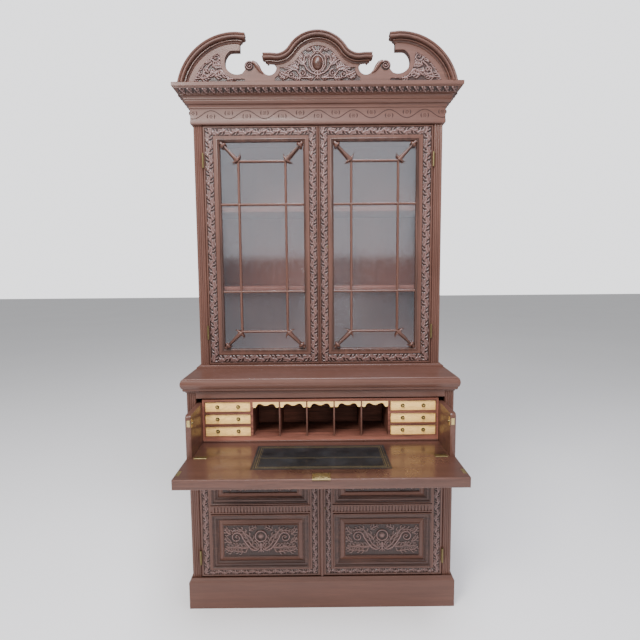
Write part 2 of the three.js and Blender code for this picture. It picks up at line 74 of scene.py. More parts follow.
# ------------------------------------------------------------------ settings
class DeskSizes(bpy.types.PropertyGroup):
    """Sizes of the carved and turned detail."""
    pitch: bpy.props.FloatProperty(
        name="Carving step", description="Spacing of the points of the carved surfaces",
        default=0.0018, min=0.001, max=0.006, unit="LENGTH")
    band_relief: bpy.props.FloatProperty(
        name="Border relief", description="Height of the running-leaf borders above their ground",
        default=0.0052, unit="LENGTH")
    panel_relief: bpy.props.FloatProperty(
        name="Panel relief", description="Height of the carved fields above their ground",
        default=0.0058, unit="LENGTH")
    border_step: bpy.props.FloatProperty(
        name="Border step", description="How far plain borders stand above carved ground",
        default=0.0035, unit="LENGTH")
    knob_radius: bpy.props.FloatProperty(
        name="Knob radius", description="Radius of the small drawer knobs",
        default=0.0052, unit="LENGTH")
    wave_length: bpy.props.FloatProperty(
        name="Frieze wave", description="Length of one wave of the line cut in the frieze",
        default=0.158, unit="LENGTH")


class DeskColours(bpy.types.PropertyGroup):
    """Colours of the finishes."""
    oak: bpy.props.FloatVectorProperty(
        name="Oak", description="Waxed oak of the outside", subtype="COLOR",
        default=(0.060, 0.0265, 0.0185))
    # Also the colour of the painted shade in creases and in the carving's hollows.
    oak_grain_and_shade: bpy.props.FloatVectorProperty(
        name="Oak grain", description="Dark grain and recesses of the oak", subtype="COLOR",
        default=(0.025, 0.0105, 0.0072))
    # Paler than the outside oak: partly its own stain, partly painted light for the dim inside.
    oak_inner_stain_and_light: bpy.props.FloatVectorProperty(
        name="Inner oak", description="Stained oak of the inside", subtype="COLOR",
        default=(0.150, 0.055, 0.036))
    maple: bpy.props.FloatVectorProperty(
        name="Maple", description="Bird's-eye maple fronts", subtype="COLOR", default=(1.0, 0.62, 0.20))
    leather: bpy.props.FloatVectorProperty(
        name="Leather", description="Writing leather", subtype="COLOR", default=(0.008, 0.0084, 0.009))
    gilt: bpy.props.FloatVectorProperty(
        name="Gilt", description="Tooled lines on the leather", subtype="COLOR",
        default=(0.20, 0.16, 0.085))
    brass: bpy.props.FloatVectorProperty(
        name="Brass", description="Aged brass", subtype="COLOR", default=(0.42, 0.33, 0.15))
    floor: bpy.props.FloatVectorProperty(
        name="Floor", description="Studio floor", subtype="COLOR", default=(0.93, 0.93, 0.93))


def sizes():
    """The sizes set in the panel."""
    return bpy.context.scene.desk_sizes


def colours():
    """The colours set in the panel."""
    return bpy.context.scene.desk_colours


# ------------------------------------------------------------------ finishes
class Graph:
    """A few short calls for building a material's nodes."""

    def __init__(self, name):
        self.material = bpy.data.materials.new(name)
        self.material.use_nodes = True
        self.nodes = self.material.node_tree.nodes
        self.links = self.material.node_tree.links
        self.shader = self.nodes["Principled BSDF"]
        MATERIALS[name] = self.material

    def node(self, kind, inputs=(), **settings):
        """Adds a node, sets its options and fills or links its sockets."""
        node = self.nodes.new("ShaderNode" + kind)
        for key, value in settings.items():
            setattr(node, key, value)
        for key, value in dict(inputs).items():
            if isinstance(value, bpy.types.NodeSocket):
                self.links.new(value, node.inputs[key])
            else:
                node.inputs[key].default_value = value
        return node

    def coords(self, scale=(1, 1, 1), turn=(0, 0, 0)):
        source = self.node("TexCoord").outputs["Object"]
        return self.node("Mapping", {"Vector": source, "Scale": scale, "Rotation": turn}).outputs[0]

    def noise(self, vector, scale, detail=4, roughness=0.55, distortion=0.0):
        return self.node("TexNoise", {"Vector": vector, "Scale": scale, "Detail": detail,
                                      "Roughness": roughness, "Distortion": distortion}).outputs["Fac"]

    def ramp(self, value, stops):
        """A colour ramp from (place, grey or colour) stops."""
        node = self.node("ValToRGB", {"Fac": value})
        while len(node.color_ramp.elements) < len(stops):
            node.color_ramp.elements.new(0.5)
        for element, (place, tone) in zip(node.color_ramp.elements, stops):
            element.position = place
            element.color = (*tone, 1) if hasattr(tone, "__len__") else (tone, tone, tone, 1)
        return node.outputs["Color"]

    def mix(self, factor, first, second, blend="MIX"):
        node = self.node("Mix", data_type="RGBA", blend_type=blend)
        for socket, value in ((node.inputs[0], factor), (node.inputs[6], first), (node.inputs[7], second)):
            if isinstance(value, bpy.types.NodeSocket):
                self.links.new(value, socket)
            else:
                socket.default_value = value if not hasattr(value, "__len__") else (*value, 1)
        return node.outputs[2]

    def set(self, **inputs):
        """Fills or links the shader's own sockets."""
        for key, value in inputs.items():
            socket = self.shader.inputs[key.replace("_", " ")]
            if isinstance(value, bpy.types.NodeSocket):
                self.links.new(value, socket)
            else:
                socket.default_value = (*value, 1) if hasattr(value, "__len__") else value

    def bump(self, height, strength, distance=0.001):
        node = self.node("Bump", {"Height": height, "Strength": strength, "Distance": distance})
        self.links.new(node.outputs[0], self.shader.inputs["Normal"])


GRAIN = {"x": (3, 60, 60), "y": (60, 3, 60), "z": (60, 60, 3)}
RIDGE_WEAR_AND_HIGHLIGHT = (4.0, 6.0, 8.0)      # how much paler and cooler a convex ridge is painted than the oak: part wear, part painted highlight
TOP_WEAR_AND_HIGHLIGHT = (3.4, 4.4, 5.8)        # the same for the high parts of the carving: part wear, part painted highlight


def toned(colour, factor):
    """A colour made darker or lighter by a factor."""
    return tuple(min(1.0, channel * factor) for channel in colour)


def wood(name, colour, dark, grain, gloss=0.40, carved=False, figure=1.0, coat=0.22):
    """Waxed wood with long pores along its grain. Convex edges are painted paler (part wear,
    part painted highlight) and creases darker (painted shade). Carved wood also has painted
    shade in its recesses and is painted paler and cooler on its high places (part wear, part
    painted highlight)."""
    g = Graph(name)
    along = g.coords(GRAIN[grain])
    pores = g.noise(along, 5.0, 8, 0.65, 0.4)
    streaks = g.noise(along, 0.9, 3, 0.5, 0.8)
    patches = g.noise(g.coords(), 5.0, 3)
    tone = g.ramp(streaks, ((0.28, toned(colour, 0.50)), (0.5, colour), (0.74, toned(colour, 1.55))))
    pore_mask = g.ramp(pores, ((0.36, 0.75 * figure), (0.52, 0.0)))
    tone = g.mix(pore_mask, tone, dark)
    tone = g.mix(0.55, tone, g.ramp(patches, ((0.3, 0.72), (0.7, 1.25))), "MULTIPLY")
    edge = g.node("NewGeometry").outputs["Pointiness"]
    # Convex edges painted paler, and cooler on carving: part wear, part painted highlight.
    if carved:
        wear_and_highlight = g.ramp(edge, ((0.508, 0.0), (0.56, 0.62)))
        tone = g.mix(wear_and_highlight, tone, tuple(c * s for c, s in zip(colour, RIDGE_WEAR_AND_HIGHLIGHT)))
    else:
        wear_and_highlight = g.ramp(edge, ((0.5, 0.0), (0.56, 0.55)))
        tone = g.mix(wear_and_highlight, tone, toned(colour, 2.1))
    # Painted shade: concave creases darkened towards the grain colour.
    tone = g.mix(g.ramp(edge, ((0.36, 0.6), (0.46, 0.0))), tone, dark)
    if carved:
        relief = g.node("Attribute", attribute_name="relief").outputs["Fac"]
        # Painted shade: the low ground of the carving darkened.
        hollow = g.ramp(relief, ((0.02, 0.9), (0.40, 0.25), (0.7, 0.0)))
        tone = g.mix(hollow, tone, toned(dark, 0.7))
        # Painted highlight with some wear: the carving's high parts painted paler and cooler.
        rubbed = g.ramp(relief, ((0.66, 0.0), (1.0, 0.6)))
        tone = g.mix(rubbed, tone, tuple(c * s for c, s in zip(colour, TOP_WEAR_AND_HIGHLIGHT)))
    rough = g.ramp(patches, ((0.3, gloss - 0.07), (0.7, gloss + 0.12)))
    g.set(Base_Color=tone, Roughness=rough, Specular_IOR_Level=0.32,
          Coat_Weight=coat, Coat_Roughness=0.14)
    g.bump(pores, 0.35, 0.0006)
    return g.material


def maple():
    """Pale bird's-eye maple with small round eyes and a silky wave."""
    c = colours()
    g = Graph("maple")
    eyes = g.node("TexVoronoi", {"Vector": g.coords(), "Scale": 95.0, "Randomness": 1.0}).outputs["Distance"]
    wave = g.noise(g.coords((9, 30, 30)), 3.0, 5, 0.6, 1.5)
    tone = g.ramp(wave, ((0.3, toned(c.maple, 0.74)), (0.55, c.maple), (0.75, toned(c.maple, 1.22))))
    tone = g.mix(g.ramp(eyes, ((0.05, 0.75), (0.2, 0.0))), tone, toned(c.maple, 0.42))
    g.set(Base_Color=tone, Roughness=g.ramp(wave, ((0.3, 0.28), (0.7, 0.42))), Coat_Weight=0.4)
    g.bump(eyes, 0.1, 0.0004)


def leather():
    """Black hide with a fine pebble grain, rubbed lighter and duller in cloudy patches."""
    c = colours()
    g = Graph("leather")
    pebble = g.node("TexVoronoi", {"Vector": g.coords(), "Scale": 420.0}).outputs["Distance"]
    cloud = g.noise(g.coords(), 14.0, 5)
    tone = g.ramp(cloud, ((0.3, c.leather), (0.75, toned(c.leather, 2.4))))
    g.set(Base_Color=tone, Roughness=g.ramp(cloud, ((0.3, 0.32), (0.7, 0.55))), Coat_Weight=0.15)
    g.bump(pebble, 0.25, 0.0004)


def metal(name, colour, gloss):
    """Aged metal, browned in patches and brighter on rubbed edges."""
    g = Graph(name)
    cloud = g.noise(g.coords(), 60.0, 6, 0.6)
    edge = g.ramp(g.node("NewGeometry").outputs["Pointiness"], ((0.5, 0.0), (0.58, 0.7)))
    tone = g.ramp(cloud, ((0.32, toned(colour, 0.38)), (0.62, colour)))
    tone = g.mix(edge, tone, toned(colour, 1.7))
    g.set(Base_Color=tone, Metallic=1.0, Roughness=g.ramp(cloud, ((0.3, gloss + 0.2), (0.7, gloss))))
    g.bump(cloud, 0.12, 0.0004)


def glass():
    """Old sheet glass with slow ripples and a faint film of dust."""
    g = Graph("glass")
    ripple = g.noise(g.coords((1, 1, 0.5)), 9.0, 2)
    dust = g.noise(g.coords(), 40.0, 5)
    g.set(Base_Color=(0.78, 0.83, 0.90), Roughness=g.ramp(dust, ((0.3, 0.05), (0.8, 0.14))),
          Metallic=0.85, Transmission_Weight=1.0, Alpha=0.21)
    g.bump(ripple, 0.12, 0.002)


def make_finishes():
    """Every finish of the desk, with one wood for each way that the grain runs."""
    c = colours()
    for grain in "xyz":
        wood(f"oak_{grain}", c.oak, c.oak_grain_and_shade, grain)
        wood(f"inner_{grain}", c.oak_inner_stain_and_light, c.oak_grain_and_shade, grain, gloss=0.55, coat=0.05)
    wood("carved_x", c.oak, c.oak_grain_and_shade, "x", carved=True, gloss=0.36)
    wood("carved_z", c.oak, c.oak_grain_and_shade, "z", carved=True, gloss=0.36)
    wood("writing_wood", toned(c.oak, 0.74), c.oak_grain_and_shade, "x", gloss=0.3, coat=0.45)
    # A dark oak for the frieze's cut pattern: painted shade standing in for the cuts.
    wood("painted_cut_shade", toned(c.oak_grain_and_shade, 0.9), toned(c.oak_grain_and_shade, 0.5), "x", gloss=0.6, coat=0.0)
    maple()
    leather()
    metal("brass", c.brass, 0.3)
    metal("gilt", c.gilt, 0.45)
    metal("dark_brass", toned(c.brass, 0.3), 0.4)
    glass()
    finish_frame_nodes()


def finish_frame_nodes():
    """Gives every frame node its wood, leather, metal or glass, with the grain along the board."""
    inner = {"base_back", "base_bottom", "cupboard_shelf", "dust_board", "upper_back", "upper_top",
             "lower_bookshelf", "upper_bookshelf", "drawer_back", "pigeonhole_case"}
    for name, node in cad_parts.items():
        low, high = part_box(name)
        size = high - low
        grain = "xyz"[max(range(3), key=lambda i: size[i])]
        if name in ("upper_back", "base_back"):
            grain = "z"
        chosen = f"inner_{grain}" if name in inner else f"oak_{grain}"
        for word, finish_name in (("glass", "glass"), ("leather", "leather"), ("hinge", "dark_brass"),
                                  ("lock", "brass"), ("small_drawer", "maple"), ("valances", "maple")):
            if word in name:
                chosen = finish_name
        if name in ("fall_flap", "drawer_bottom"):
            chosen = "writing_wood"
        node.data.materials.clear()
        node.data.materials.append(MATERIALS[chosen])


# ------------------------------------------------------------------ making pieces
def place_piece(name, bm, material, body, replaced=(), sharp=32.0):
    """Turns a bmesh into a finished piece that rides on a body."""
    bmesh.ops.remove_doubles(bm, verts=bm.verts, dist=1e-6)
    bmesh.ops.recalc_face_normals(bm, faces=bm.faces)
    limit = math.radians(sharp)
    for face in bm.faces:
        face.smooth = True
    for edge in bm.edges:
        edge.smooth = len(edge.link_faces) == 2 and edge.calc_face_angle(0.0) < limit
    mesh = bpy.data.meshes.new(name)
    bm.to_mesh(mesh)
    bm.free()
    return place_mesh(name, mesh, material, body, replaced)


def place_mesh(name, mesh, material, body, replaced=()):
    """Puts a mesh in the scene with its finish, the body it rides and the nodes it stands for."""
    mesh.materials.clear()
    mesh.materials.append(MATERIALS[material])
    piece = bpy.data.objects.new(name, mesh)
    bpy.context.scene.collection.objects.link(piece)
    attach(piece, body)
    if replaced:
        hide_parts(*replaced)
    return piece


def merged_copy(node, material, body):
    """A piece made from a frame node's own shape with its faces joined up."""
    bm = bmesh.new()
    bm.from_mesh(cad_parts[node].data)
    bmesh.ops.remove_doubles(bm, verts=bm.verts, dist=1e-5)
    bmesh.ops.dissolve_limit(bm, angle_limit=0.002, verts=bm.verts, edges=bm.edges)
    return place_piece(f"{node}_board", bm, material, body, [node])


def build_boards():
    """The reeded sides, the plinth and the rails."""
    for node, grain in (("base_left_side", "z"), ("base_right_side", "z"),
                        ("upper_left_side", "z"), ("upper_right_side", "z"),
                        ("plinth", "x"), ("frieze_board", "x"), ("frieze_rail", "x")):
        merged_copy(node, f"oak_{grain}", "case")


def add_box(bm, low, high, bevel=0.0, segments=2):
    """A box between two corners, with its edges eased if a bevel is given."""
    low, high = Vector(low), Vector(high)
    matrix = Matrix.Translation((low + high) / 2) @ Matrix.Diagonal((*(high - low), 1))
    verts = bmesh.ops.create_cube(bm, size=1, matrix=matrix)["verts"]
    if bevel:
        edges = list({edge for vert in verts for edge in vert.link_edges})
        bmesh.ops.bevel(bm, geom=edges, offset=bevel, offset_type="OFFSET", affect="EDGES",
                        segments=segments, profile=0.5, material=-1)


def add_turned(bm, profile, matrix, steps=20):
    """A turned solid from (radius, height) points about the local Z axis."""
    verts = [bm.verts.new((radius, 0, height)) for radius, height in profile]
    edges = [bm.edges.new(pair) for pair in zip(verts, verts[1:])]
    made = bmesh.ops.spin(bm, geom=verts + edges, cent=(0, 0, 0), axis=(0, 0, 1), angle=math.tau,
                          steps=steps, use_merge=True)
    loose = {item for item in made["geom_last"] if isinstance(item, bmesh.types.BMVert)} | set(verts)
    near = set(loose)
    grown = True
    while grown:
        reach = {edge.other_vert(vert) for vert in near for edge in vert.link_edges} - near
        near |= reach
        grown = bool(reach)
    bmesh.ops.transform(bm, matrix=matrix, verts=list(near))


def rings(bm, loops, closed=False):
    """Skins a row of rings with the same number of corners; ends are capped unless closed."""
    rows = list(loops) + (loops[:1] if closed else [])
    across, along = len(rows[0]), len(rows) - 1
    made = bmesh.ops.create_grid(bm, x_segments=across, y_segments=along, size=1)["verts"]
    for vert in made:
        i = round((vert.co.x + 1) / 2 * across) % across
        k = round((vert.co.y + 1) / 2 * along)
        vert.co = rows[k][i]
    bmesh.ops.remove_doubles(bm, verts=made, dist=1e-6)
    if not closed:
        kept = [vert for vert in made if vert.is_valid]
        rim = {edge for vert in kept for edge in vert.link_edges if len(edge.link_faces) == 1}
        bmesh.ops.holes_fill(bm, edges=list(rim), sides=0)


def mitred_frame(bm, outer, inner, front, profile, side=1):
    """A mitred frame between two rectangles (x0, x1, z0, z1). The profile runs from
    the outer edge, 0, to the inner edge, 1, with depths behind the front."""
    corners = ((0, 2), (1, 2), (1, 3), (0, 3))
    loops = []
    for share, depth in profile:
        rect = [o + (i - o) * share for o, i in zip(outer, inner)]
        loops.append([(side * rect[a], front + depth, rect[b]) for a, b in corners])
    rings(bm, loops, closed=True)


def moulded_block(bm, levels, half, front, back):
    """A block whose front and sides follow (overhang, z) levels with mitred corners."""
    loops = []
    for over, z in levels:
        x, y = half + over, front - over
        loops.append([(-x, y, z), (x, y, z), (x, back, z), (-x, back, z)])
    rings(bm, loops)


def arc_points(centre, radius, start, end, steps):
    """Points on an arc, angles in degrees."""
    angles = np.radians(np.linspace(start, end, steps + 1))
    return [(centre[0] + radius * math.cos(a), centre[1] + radius * math.sin(a)) for a in angles]


def sweep(bm, path, profile, front, side=1, returned="", back=0.0):
    """Sweeps a closed profile of (inward, forward) points along a path in X and Z."""
    path = np.array(path)
    steps = np.gradient(path, axis=0)
    steps /= np.linalg.norm(steps, axis=1)[:, None]
    inward = np.stack((steps[:, 1], -steps[:, 0]), axis=1)
    loops = []
    for point, normal in zip(path, inward):
        loops.append([(side * (point[0] + normal[0] * inset), front - forward, point[1] + normal[1] * inset)
                      for inset, forward in profile])
    reach = max(forward for _, forward in profile)
    for end in returned:
        place = 0 if end == "start" else -1
        way = 1 if end == "start" else -1
        mitre = [(x + side * way * (reach - forward), y, z)
                 for (x, y, z), (_, forward) in zip(loops[place], profile)]
        loops[place] = mitre
        loops.insert(0 if end == "start" else len(loops), [(x, back, z) for x, _, z in mitre])
    rings(bm, loops)


def plate(name, outlines, front, back, material, body, replaced=()):
    """A flat board with holes, from outlines in X and Z."""
    data = bpy.data.curves.new(name, "CURVE")
    data.dimensions = "2D"
    data.fill_mode = "BOTH"
    data.extrude = (back - front) / 2
    for points in outlines:
        spline = data.splines.new("POLY")
        spline.points.add(len(points) - 1)
        for target, (x, z) in zip(spline.points, points):
            target.co = (x, z, 0, 1)
        spline.use_cyclic_u = True
    flat = bpy.data.objects.new(name + "_outline", data)
    mesh = bpy.data.meshes.new_from_object(flat)
    bpy.data.objects.remove(flat)
    bm = bmesh.new()
    bm.from_mesh(mesh)
    bpy.data.meshes.remove(mesh)
    matrix = Matrix.Translation((0, (front + back) / 2, 0)) @ Matrix.Rotation(math.pi / 2, 4, "X")
    bmesh.ops.transform(bm, matrix=matrix, verts=bm.verts)
    return place_piece(name, bm, material, body, replaced)


# ------------------------------------------------------------------ carving
class Relief:
    """A carved surface: a height above the ground at each point of a fine grid in X and Z."""

    def __init__(self, x0, x1, z0, z1, height):
        pitch = sizes().pitch
        self.x = np.linspace(x0, x1, max(4, round((x1 - x0) / pitch)) + 1)
        self.z = np.linspace(z0, z1, max(4, round((z1 - z0) / pitch)) + 1)
        self.h = np.zeros((len(self.x), len(self.z)))
        self.height = height

    def dab(self, x, z, radius, height=1.0, dish=0.0):
        """One rounded touch. A dished one is hollow in its middle."""
        i0, i1 = np.searchsorted(self.x, (x - radius, x + radius))
        k0, k1 = np.searchsorted(self.z, (z - radius, z + radius))
        if i0 == i1 or k0 == k1:
            return
        part = self.h[i0:i1, k0:k1]
        squared = ((self.x[i0:i1, None] - x) ** 2 + (self.z[None, k0:k1] - z) ** 2) / radius ** 2
        inside = squared < 1
        dome = np.sqrt(np.clip(1 - squared, 0, 1)) * (1 - dish * np.exp(-squared * 5))
        part[inside] = np.maximum(part[inside], (dome * height)[inside])

    def stroke(self, points, start, end, height=1.0):
        """A ridge along a path whose radius runs from start to end."""
        points = np.array(points, float)
        lengths = np.linalg.norm(np.diff(points, axis=0), axis=1)
        travel = np.concatenate(([0], np.cumsum(lengths)))
        count = max(2, int(travel[-1] / (0.35 * max(min(start, end), 0.0012))))
        for t in np.linspace(0, travel[-1], count):
            share = t / travel[-1]
            self.dab(np.interp(t, travel, points[:, 0]), np.interp(t, travel, points[:, 1]),
                     start + (end - start) * share, height)

    def leaf(self, x, z, angle, length, width, lobes=3, curl=0.5, height=1.0):
        """A lobed leaf that starts at a point and curls as it grows."""
        spine = []
        heading = angle
        px, pz = x, z
        for i in range(9):
            spine.append((px, pz))
            px += math.cos(heading) * length / 8
            pz += math.sin(heading) * length / 8
            heading += curl / 8
        self.stroke(spine, width * 0.2, width * 0.09, height)
        for i in range(lobes):
            share = (i + 0.35) / lobes
            step = min(7, int(share * 8))
            bx, bz = spine[step]
            direction = math.atan2(spine[step + 1][1] - bz, spine[step + 1][0] - bx)
            reach = width * (0.62 - 0.3 * share)
            for turn in (-1, 1):
                bend = direction + turn * 1.0
                tip = (bx + math.cos(bend) * reach, bz + math.sin(bend) * reach)
                hook = (tip[0] + math.cos(direction) * reach * 0.45,
                        tip[1] + math.sin(direction) * reach * 0.45)
                self.stroke([(bx, bz), tip, hook], width * 0.17, width * 0.06, height * 0.85)

    def scroll(self, x, z, radius, start, turns, width, hand=1, height=1.0, inner=0.25):
        """A spiral ridge that winds inwards to an eye. Returns where it starts."""
        points = []
        for share in np.linspace(0, 1, 26):
            angle = start + hand * turns * math.tau * share
            reach = radius * (1 - (1 - inner) * share)
            points.append((x + reach * math.cos(angle), z + reach * math.sin(angle)))
        self.stroke(points, width, width * 0.55, height)
        self.dab(x, z, width * 1.15, height)
        return points[0]

    def ring(self, x, z, radius, width, stretch=1.0, height=1.0):
        """A round or upright oval ridge."""
        points = [(x + radius * math.cos(a), z + stretch * radius * math.sin(a))
                  for a in np.linspace(0, math.tau, 33)]
        self.stroke(points, width, width, height)

    def stipple(self, depth=0.1):
        """Roughens the ground with the marks of a punch."""
        marks = np.sin(self.x[:, None] * 1830 + 2.1 * np.sin(self.z * 910)[None, :]) \
            * np.sin(self.z[None, :] * 1710 + 1.7 * np.sin(self.x * 1130)[:, None])
        ground = self.h < 0.05
        self.h[ground] += (0.5 + 0.5 * marks[ground]) * depth

    def build(self, name, ground, material, body, side=1, outline=None, back=0.002, lay=None):
        """Makes the carved surface as a closed skin on its ground."""
        self.h += 0.03 * np.sin(self.x * 900)[:, None] * np.sin(self.z * 770)[None, :] * (self.h > 0.05)
        nx, nz = self.h.shape
        bm = bmesh.new()
        layer = bm.verts.layers.float.new("relief")
        bmesh.ops.create_grid(bm, x_segments=nx - 1, y_segments=nz - 1, size=1)
        outside = []
        keep = np.ones((nx, nz), bool) if outline is None else inside_outline(self.x, self.z, outline)
        for vert in bm.verts:
            i = round((vert.co.x + 1) / 2 * (nx - 1))
            k = round((vert.co.y + 1) / 2 * (nz - 1))
            height = self.h[i, k]
            vert.co = (side * self.x[i], ground - height * self.height, self.z[k])
            vert[layer] = height
            if not keep[i, k]:
                outside.append(vert)
        bmesh.ops.delete(bm, geom=outside, context="VERTS")
        drop_pinched(bm)
        rim = [edge for edge in bm.edges if len(edge.link_faces) == 1]
        made = bmesh.ops.extrude_edge_only(bm, edges=rim)["geom"]
        for vert in made:
            if isinstance(vert, bmesh.types.BMVert):
                vert.co.y = ground + back
                vert[layer] = 0.5
        edges = [item for item in made if isinstance(item, bmesh.types.BMEdge)]
        bmesh.ops.holes_fill(bm, edges=edges, sides=0)
        if lay:
            bmesh.ops.transform(bm, matrix=lay, verts=bm.verts)
        return place_piece(name, bm, material, body, sharp=75)


def drop_pinched(bm):
    """Removes points where two parts of a trimmed surface meet only at a corner, and stray points."""
    pinched = [True]
    while pinched:
        pinched = [vert for vert in bm.verts
                   if sum(len(edge.link_faces) < 2 for edge in vert.link_edges) > 2 or not vert.link_faces]
        bmesh.ops.delete(bm, geom=pinched, context="VERTS")


def inside_outline(xs, zs, outline):
    """Which grid points lie inside a closed outline."""
    grid_x, grid_z = np.meshgrid(xs, zs, indexing="ij")
    inside = np.zeros(grid_x.shape, bool)
    for (ax, az), (bx, bz) in zip(outline, outline[1:] + outline[:1]):
        if az == bz:
            continue
        crosses = (az > grid_z) != (bz > grid_z)
        inside ^= crosses & (grid_x < (bx - ax) * (grid_z - az) / (bz - az) + ax)
    return inside


def running_leaf(relief, x0, x1, z0, z1, period):
    """A wavy stem with a curling leaf and a berry in each bend, along the longer side of a band."""
    upright = (z1 - z0) > (x1 - x0)
    length = z1 - z0 if upright else x1 - x0
    width = x1 - x0 if upright else z1 - z0
    count = max(1, round(length / period))
    period = length / count

    def at(along, across):
        if upright:
            return (x0 + x1) / 2 + across * width, z0 + along
        return x0 + along, (z0 + z1) / 2 + across * width
    base = math.pi / 2 if upright else 0.0
    flip = -1 if upright else 1
    stem = [at(s, 0.27 * math.sin(math.tau * s / period)) for s in np.linspace(0, length, count * 14)]
    relief.stroke(stem, width * 0.075, width * 0.075, 0.8)
    for i in range(count * 2):
        turn = 1 if i % 2 == 0 else -1
        along = (i + 0.2) * period / 2
        start = at(along, 0.24 * turn)
        relief.leaf(*start, base - flip * turn * 0.75, period * 0.46, width * 0.86, 3, flip * turn * 1.3)
        eye = at(along + period * 0.3, 0.3 * turn)
        relief.dab(*eye, width * 0.15, 0.9, dish=0.5)
        back_leaf = at(along + period * 0.1, 0.2 * turn)
        relief.leaf(*back_leaf, base + flip * turn * 0.9, period * 0.26, width * 0.55, 2,
                    flip * turn * 0.8, 0.85)


# ------------------------------------------------------------------ stage
def build_stage():
    """A pale floor, soft studio light and the camera."""
    bm = bmesh.new()
    bmesh.ops.create_grid(bm, x_segments=1, y_segments=1, size=30)
    mesh = bpy.data.meshes.new("studio_floor")
    bm.to_mesh(mesh)
    bm.free()
    g = Graph("studio_floor")
    mottle = g.noise(g.coords(), 0.6, 2)
    shade = colours().floor
    g.set(Base_Color=g.ramp(mottle, ((0.2, toned(shade, 0.98)), (0.8, toned(shade, 1.02)))), Roughness=0.9)
    mesh.materials.append(g.material)
    floor = bpy.data.objects.new("studio_floor", mesh)
    bpy.context.scene.collection.objects.link(floor)

    build_world()
    add_lamp("key_light", (-2.4, -3.6, 4.2), (0, 0, 1.5), 1.6, 215, (1.0, 0.97, 0.95))
    add_lamp("fill_light", (3.4, -3.4, 2.4), (0, 0, 1.2), 2.6, 46, (0.94, 0.95, 1.0))
    add_lamp("top_light", (0.3, -1.7, 4.8), (0, 0, 1.2), 1.8, 210, (0.88, 0.89, 1.0))
    add_lamp("front_light", (0.2, -3.6, 1.1), (0, 0, 0.95), 1.0, 28, (1.0, 0.96, 0.93), False)
    add_lamp("window_light", (0.0, -5.2, 3.3), (0, 0, 1.9), 3.2, 27, (0.96, 0.98, 1.0))
    add_lamp("crown_light", (-0.5, -2.2, 3.9), (0, 0.1, 2.3), 0.8, 52, (1.0, 0.95, 0.90))

    add_camera()


def build_world():
    """An even pale surround that is bright to look at and dimmer as a light and in reflections."""
    world = bpy.data.worlds.new("studio")
    world.use_nodes = True
    nodes, links = world.node_tree.nodes, world.node_tree.links
    nodes["Background"].inputs["Color"].default_value = (0.97, 0.97, 1.0, 1)
    path = nodes.new("ShaderNodeLightPath")
    seen, mirrored = nodes.new("ShaderNodeMath"), nodes.new("ShaderNodeMath")
    for step, ray, change in ((seen, "Is Camera Ray", 1.5), (mirrored, "Is Glossy Ray", -0.28)):
        step.operation = "MULTIPLY_ADD"
        step.inputs[1].default_value = change
        links.new(path.outputs[ray], step.inputs[0])
    seen.inputs[2].default_value = 0.52
    links.new(seen.outputs[0], mirrored.inputs[2])
    links.new(mirrored.outputs[0], nodes["Background"].inputs["Strength"])
    bpy.context.scene.world = world


def add_camera():
    """The camera, standing before the desk at about eye height and looking a little down."""
    sensor, focal_share = 36, 465.9 / 640
    data = bpy.data.cameras.new("camera")
    data.sensor_width = sensor
    data.lens = sensor * focal_share
    camera = bpy.data.objects.new("camera", data)
    bpy.context.scene.collection.objects.link(camera)
    yaw, pitch, roll = (math.radians(a) for a in (0.18, 5.51, -0.47))
    turn = Matrix.Rotation(-yaw, 4, "Z") @ Matrix.Rotation(math.pi / 2 - pitch, 4, "X")
    place = Matrix.Translation((-0.005, CARCASS_FRONT - 1.9355, 1.4569))
    camera.matrix_world = place @ turn @ Matrix.Rotation(roll, 4, "Z")
    bpy.context.scene.camera = camera


def add_lamp(name, place, target, size, power, tint, glossy=True):
    """A square soft light aimed at a point; one that isn't glossy leaves no reflection."""
    data = bpy.data.lights.new(name, "AREA")
    data.size = size
    data.energy = power
    data.color = tint
    lamp = bpy.data.objects.new(name, data)
    lamp.visible_glossy = glossy
    bpy.context.scene.collection.objects.link(lamp)
    direction = Vector(target) - Vector(place)
    turn = direction.to_track_quat("-Z", "Y").to_matrix().to_4x4()
    lamp.matrix_world = Matrix.Translation(place) @ turn


# ------------------------------------------------------------------ mouldings of the case
def roll_levels(start, end, steps, bulge):
    """Builds the whole desk."""
    levels = []
    for share in np.linspace(0, 1, steps + 1):
        over = start[0] + (end[0] - start[0]) * share + bulge * math.sin(math.pi * share)
        levels.append((over, start[1] + (end[1] - start[1]) * share))
    return levels


def build_slab():
    """The moulded top of the lower stage: a rounded edge over a fillet."""
    low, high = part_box("base_top")
    half = high.x - 0.023
    z0, z1 = low.z, high.z
    levels = [(0.004, z0), (0.004, z0 + 0.004)]
    levels += roll_levels((0.005, z0 + 0.004), (0.013, z0 + 0.011), 4, 0.003)
    levels += [(0.014, z0 + 0.0115), (0.014, z0 + 0.018), (0.017, z0 + 0.019)]
    levels += roll_levels((0.0175, z0 + 0.0195), (0.0185, z1 - 0.0065), 10, 0.0045)
    levels += [(0.0155, z1 - 0.006)] + roll_levels((0.0155, z1 - 0.0055), (0.0115, z1), 4, 0.0012)
    bm = bmesh.new()
    moulded_block(bm, levels, half, CARCASS_FRONT, high.y)
    place_piece("slab", bm, "oak_x", "case", ["base_top"])


def build_step():
    """The small moulding that the bookcase stands on."""
    low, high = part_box("upper_bottom")
    half = high.x - 0.017
    levels = [(0.017, low.z), (0.017, low.z + 0.0065)]
    levels += roll_levels((0.0155, low.z + 0.0068), (0.0065, high.z - 0.002), 6, -0.0028)
    levels += [(0.006, high.z - 0.0015), (0.006, high.z)]
    bm = bmesh.new()
    moulded_block(bm, levels, half, CASE_FRONT, high.y)
    place_piece("bookcase_step", bm, "oak_x", "case", ["upper_bottom"])


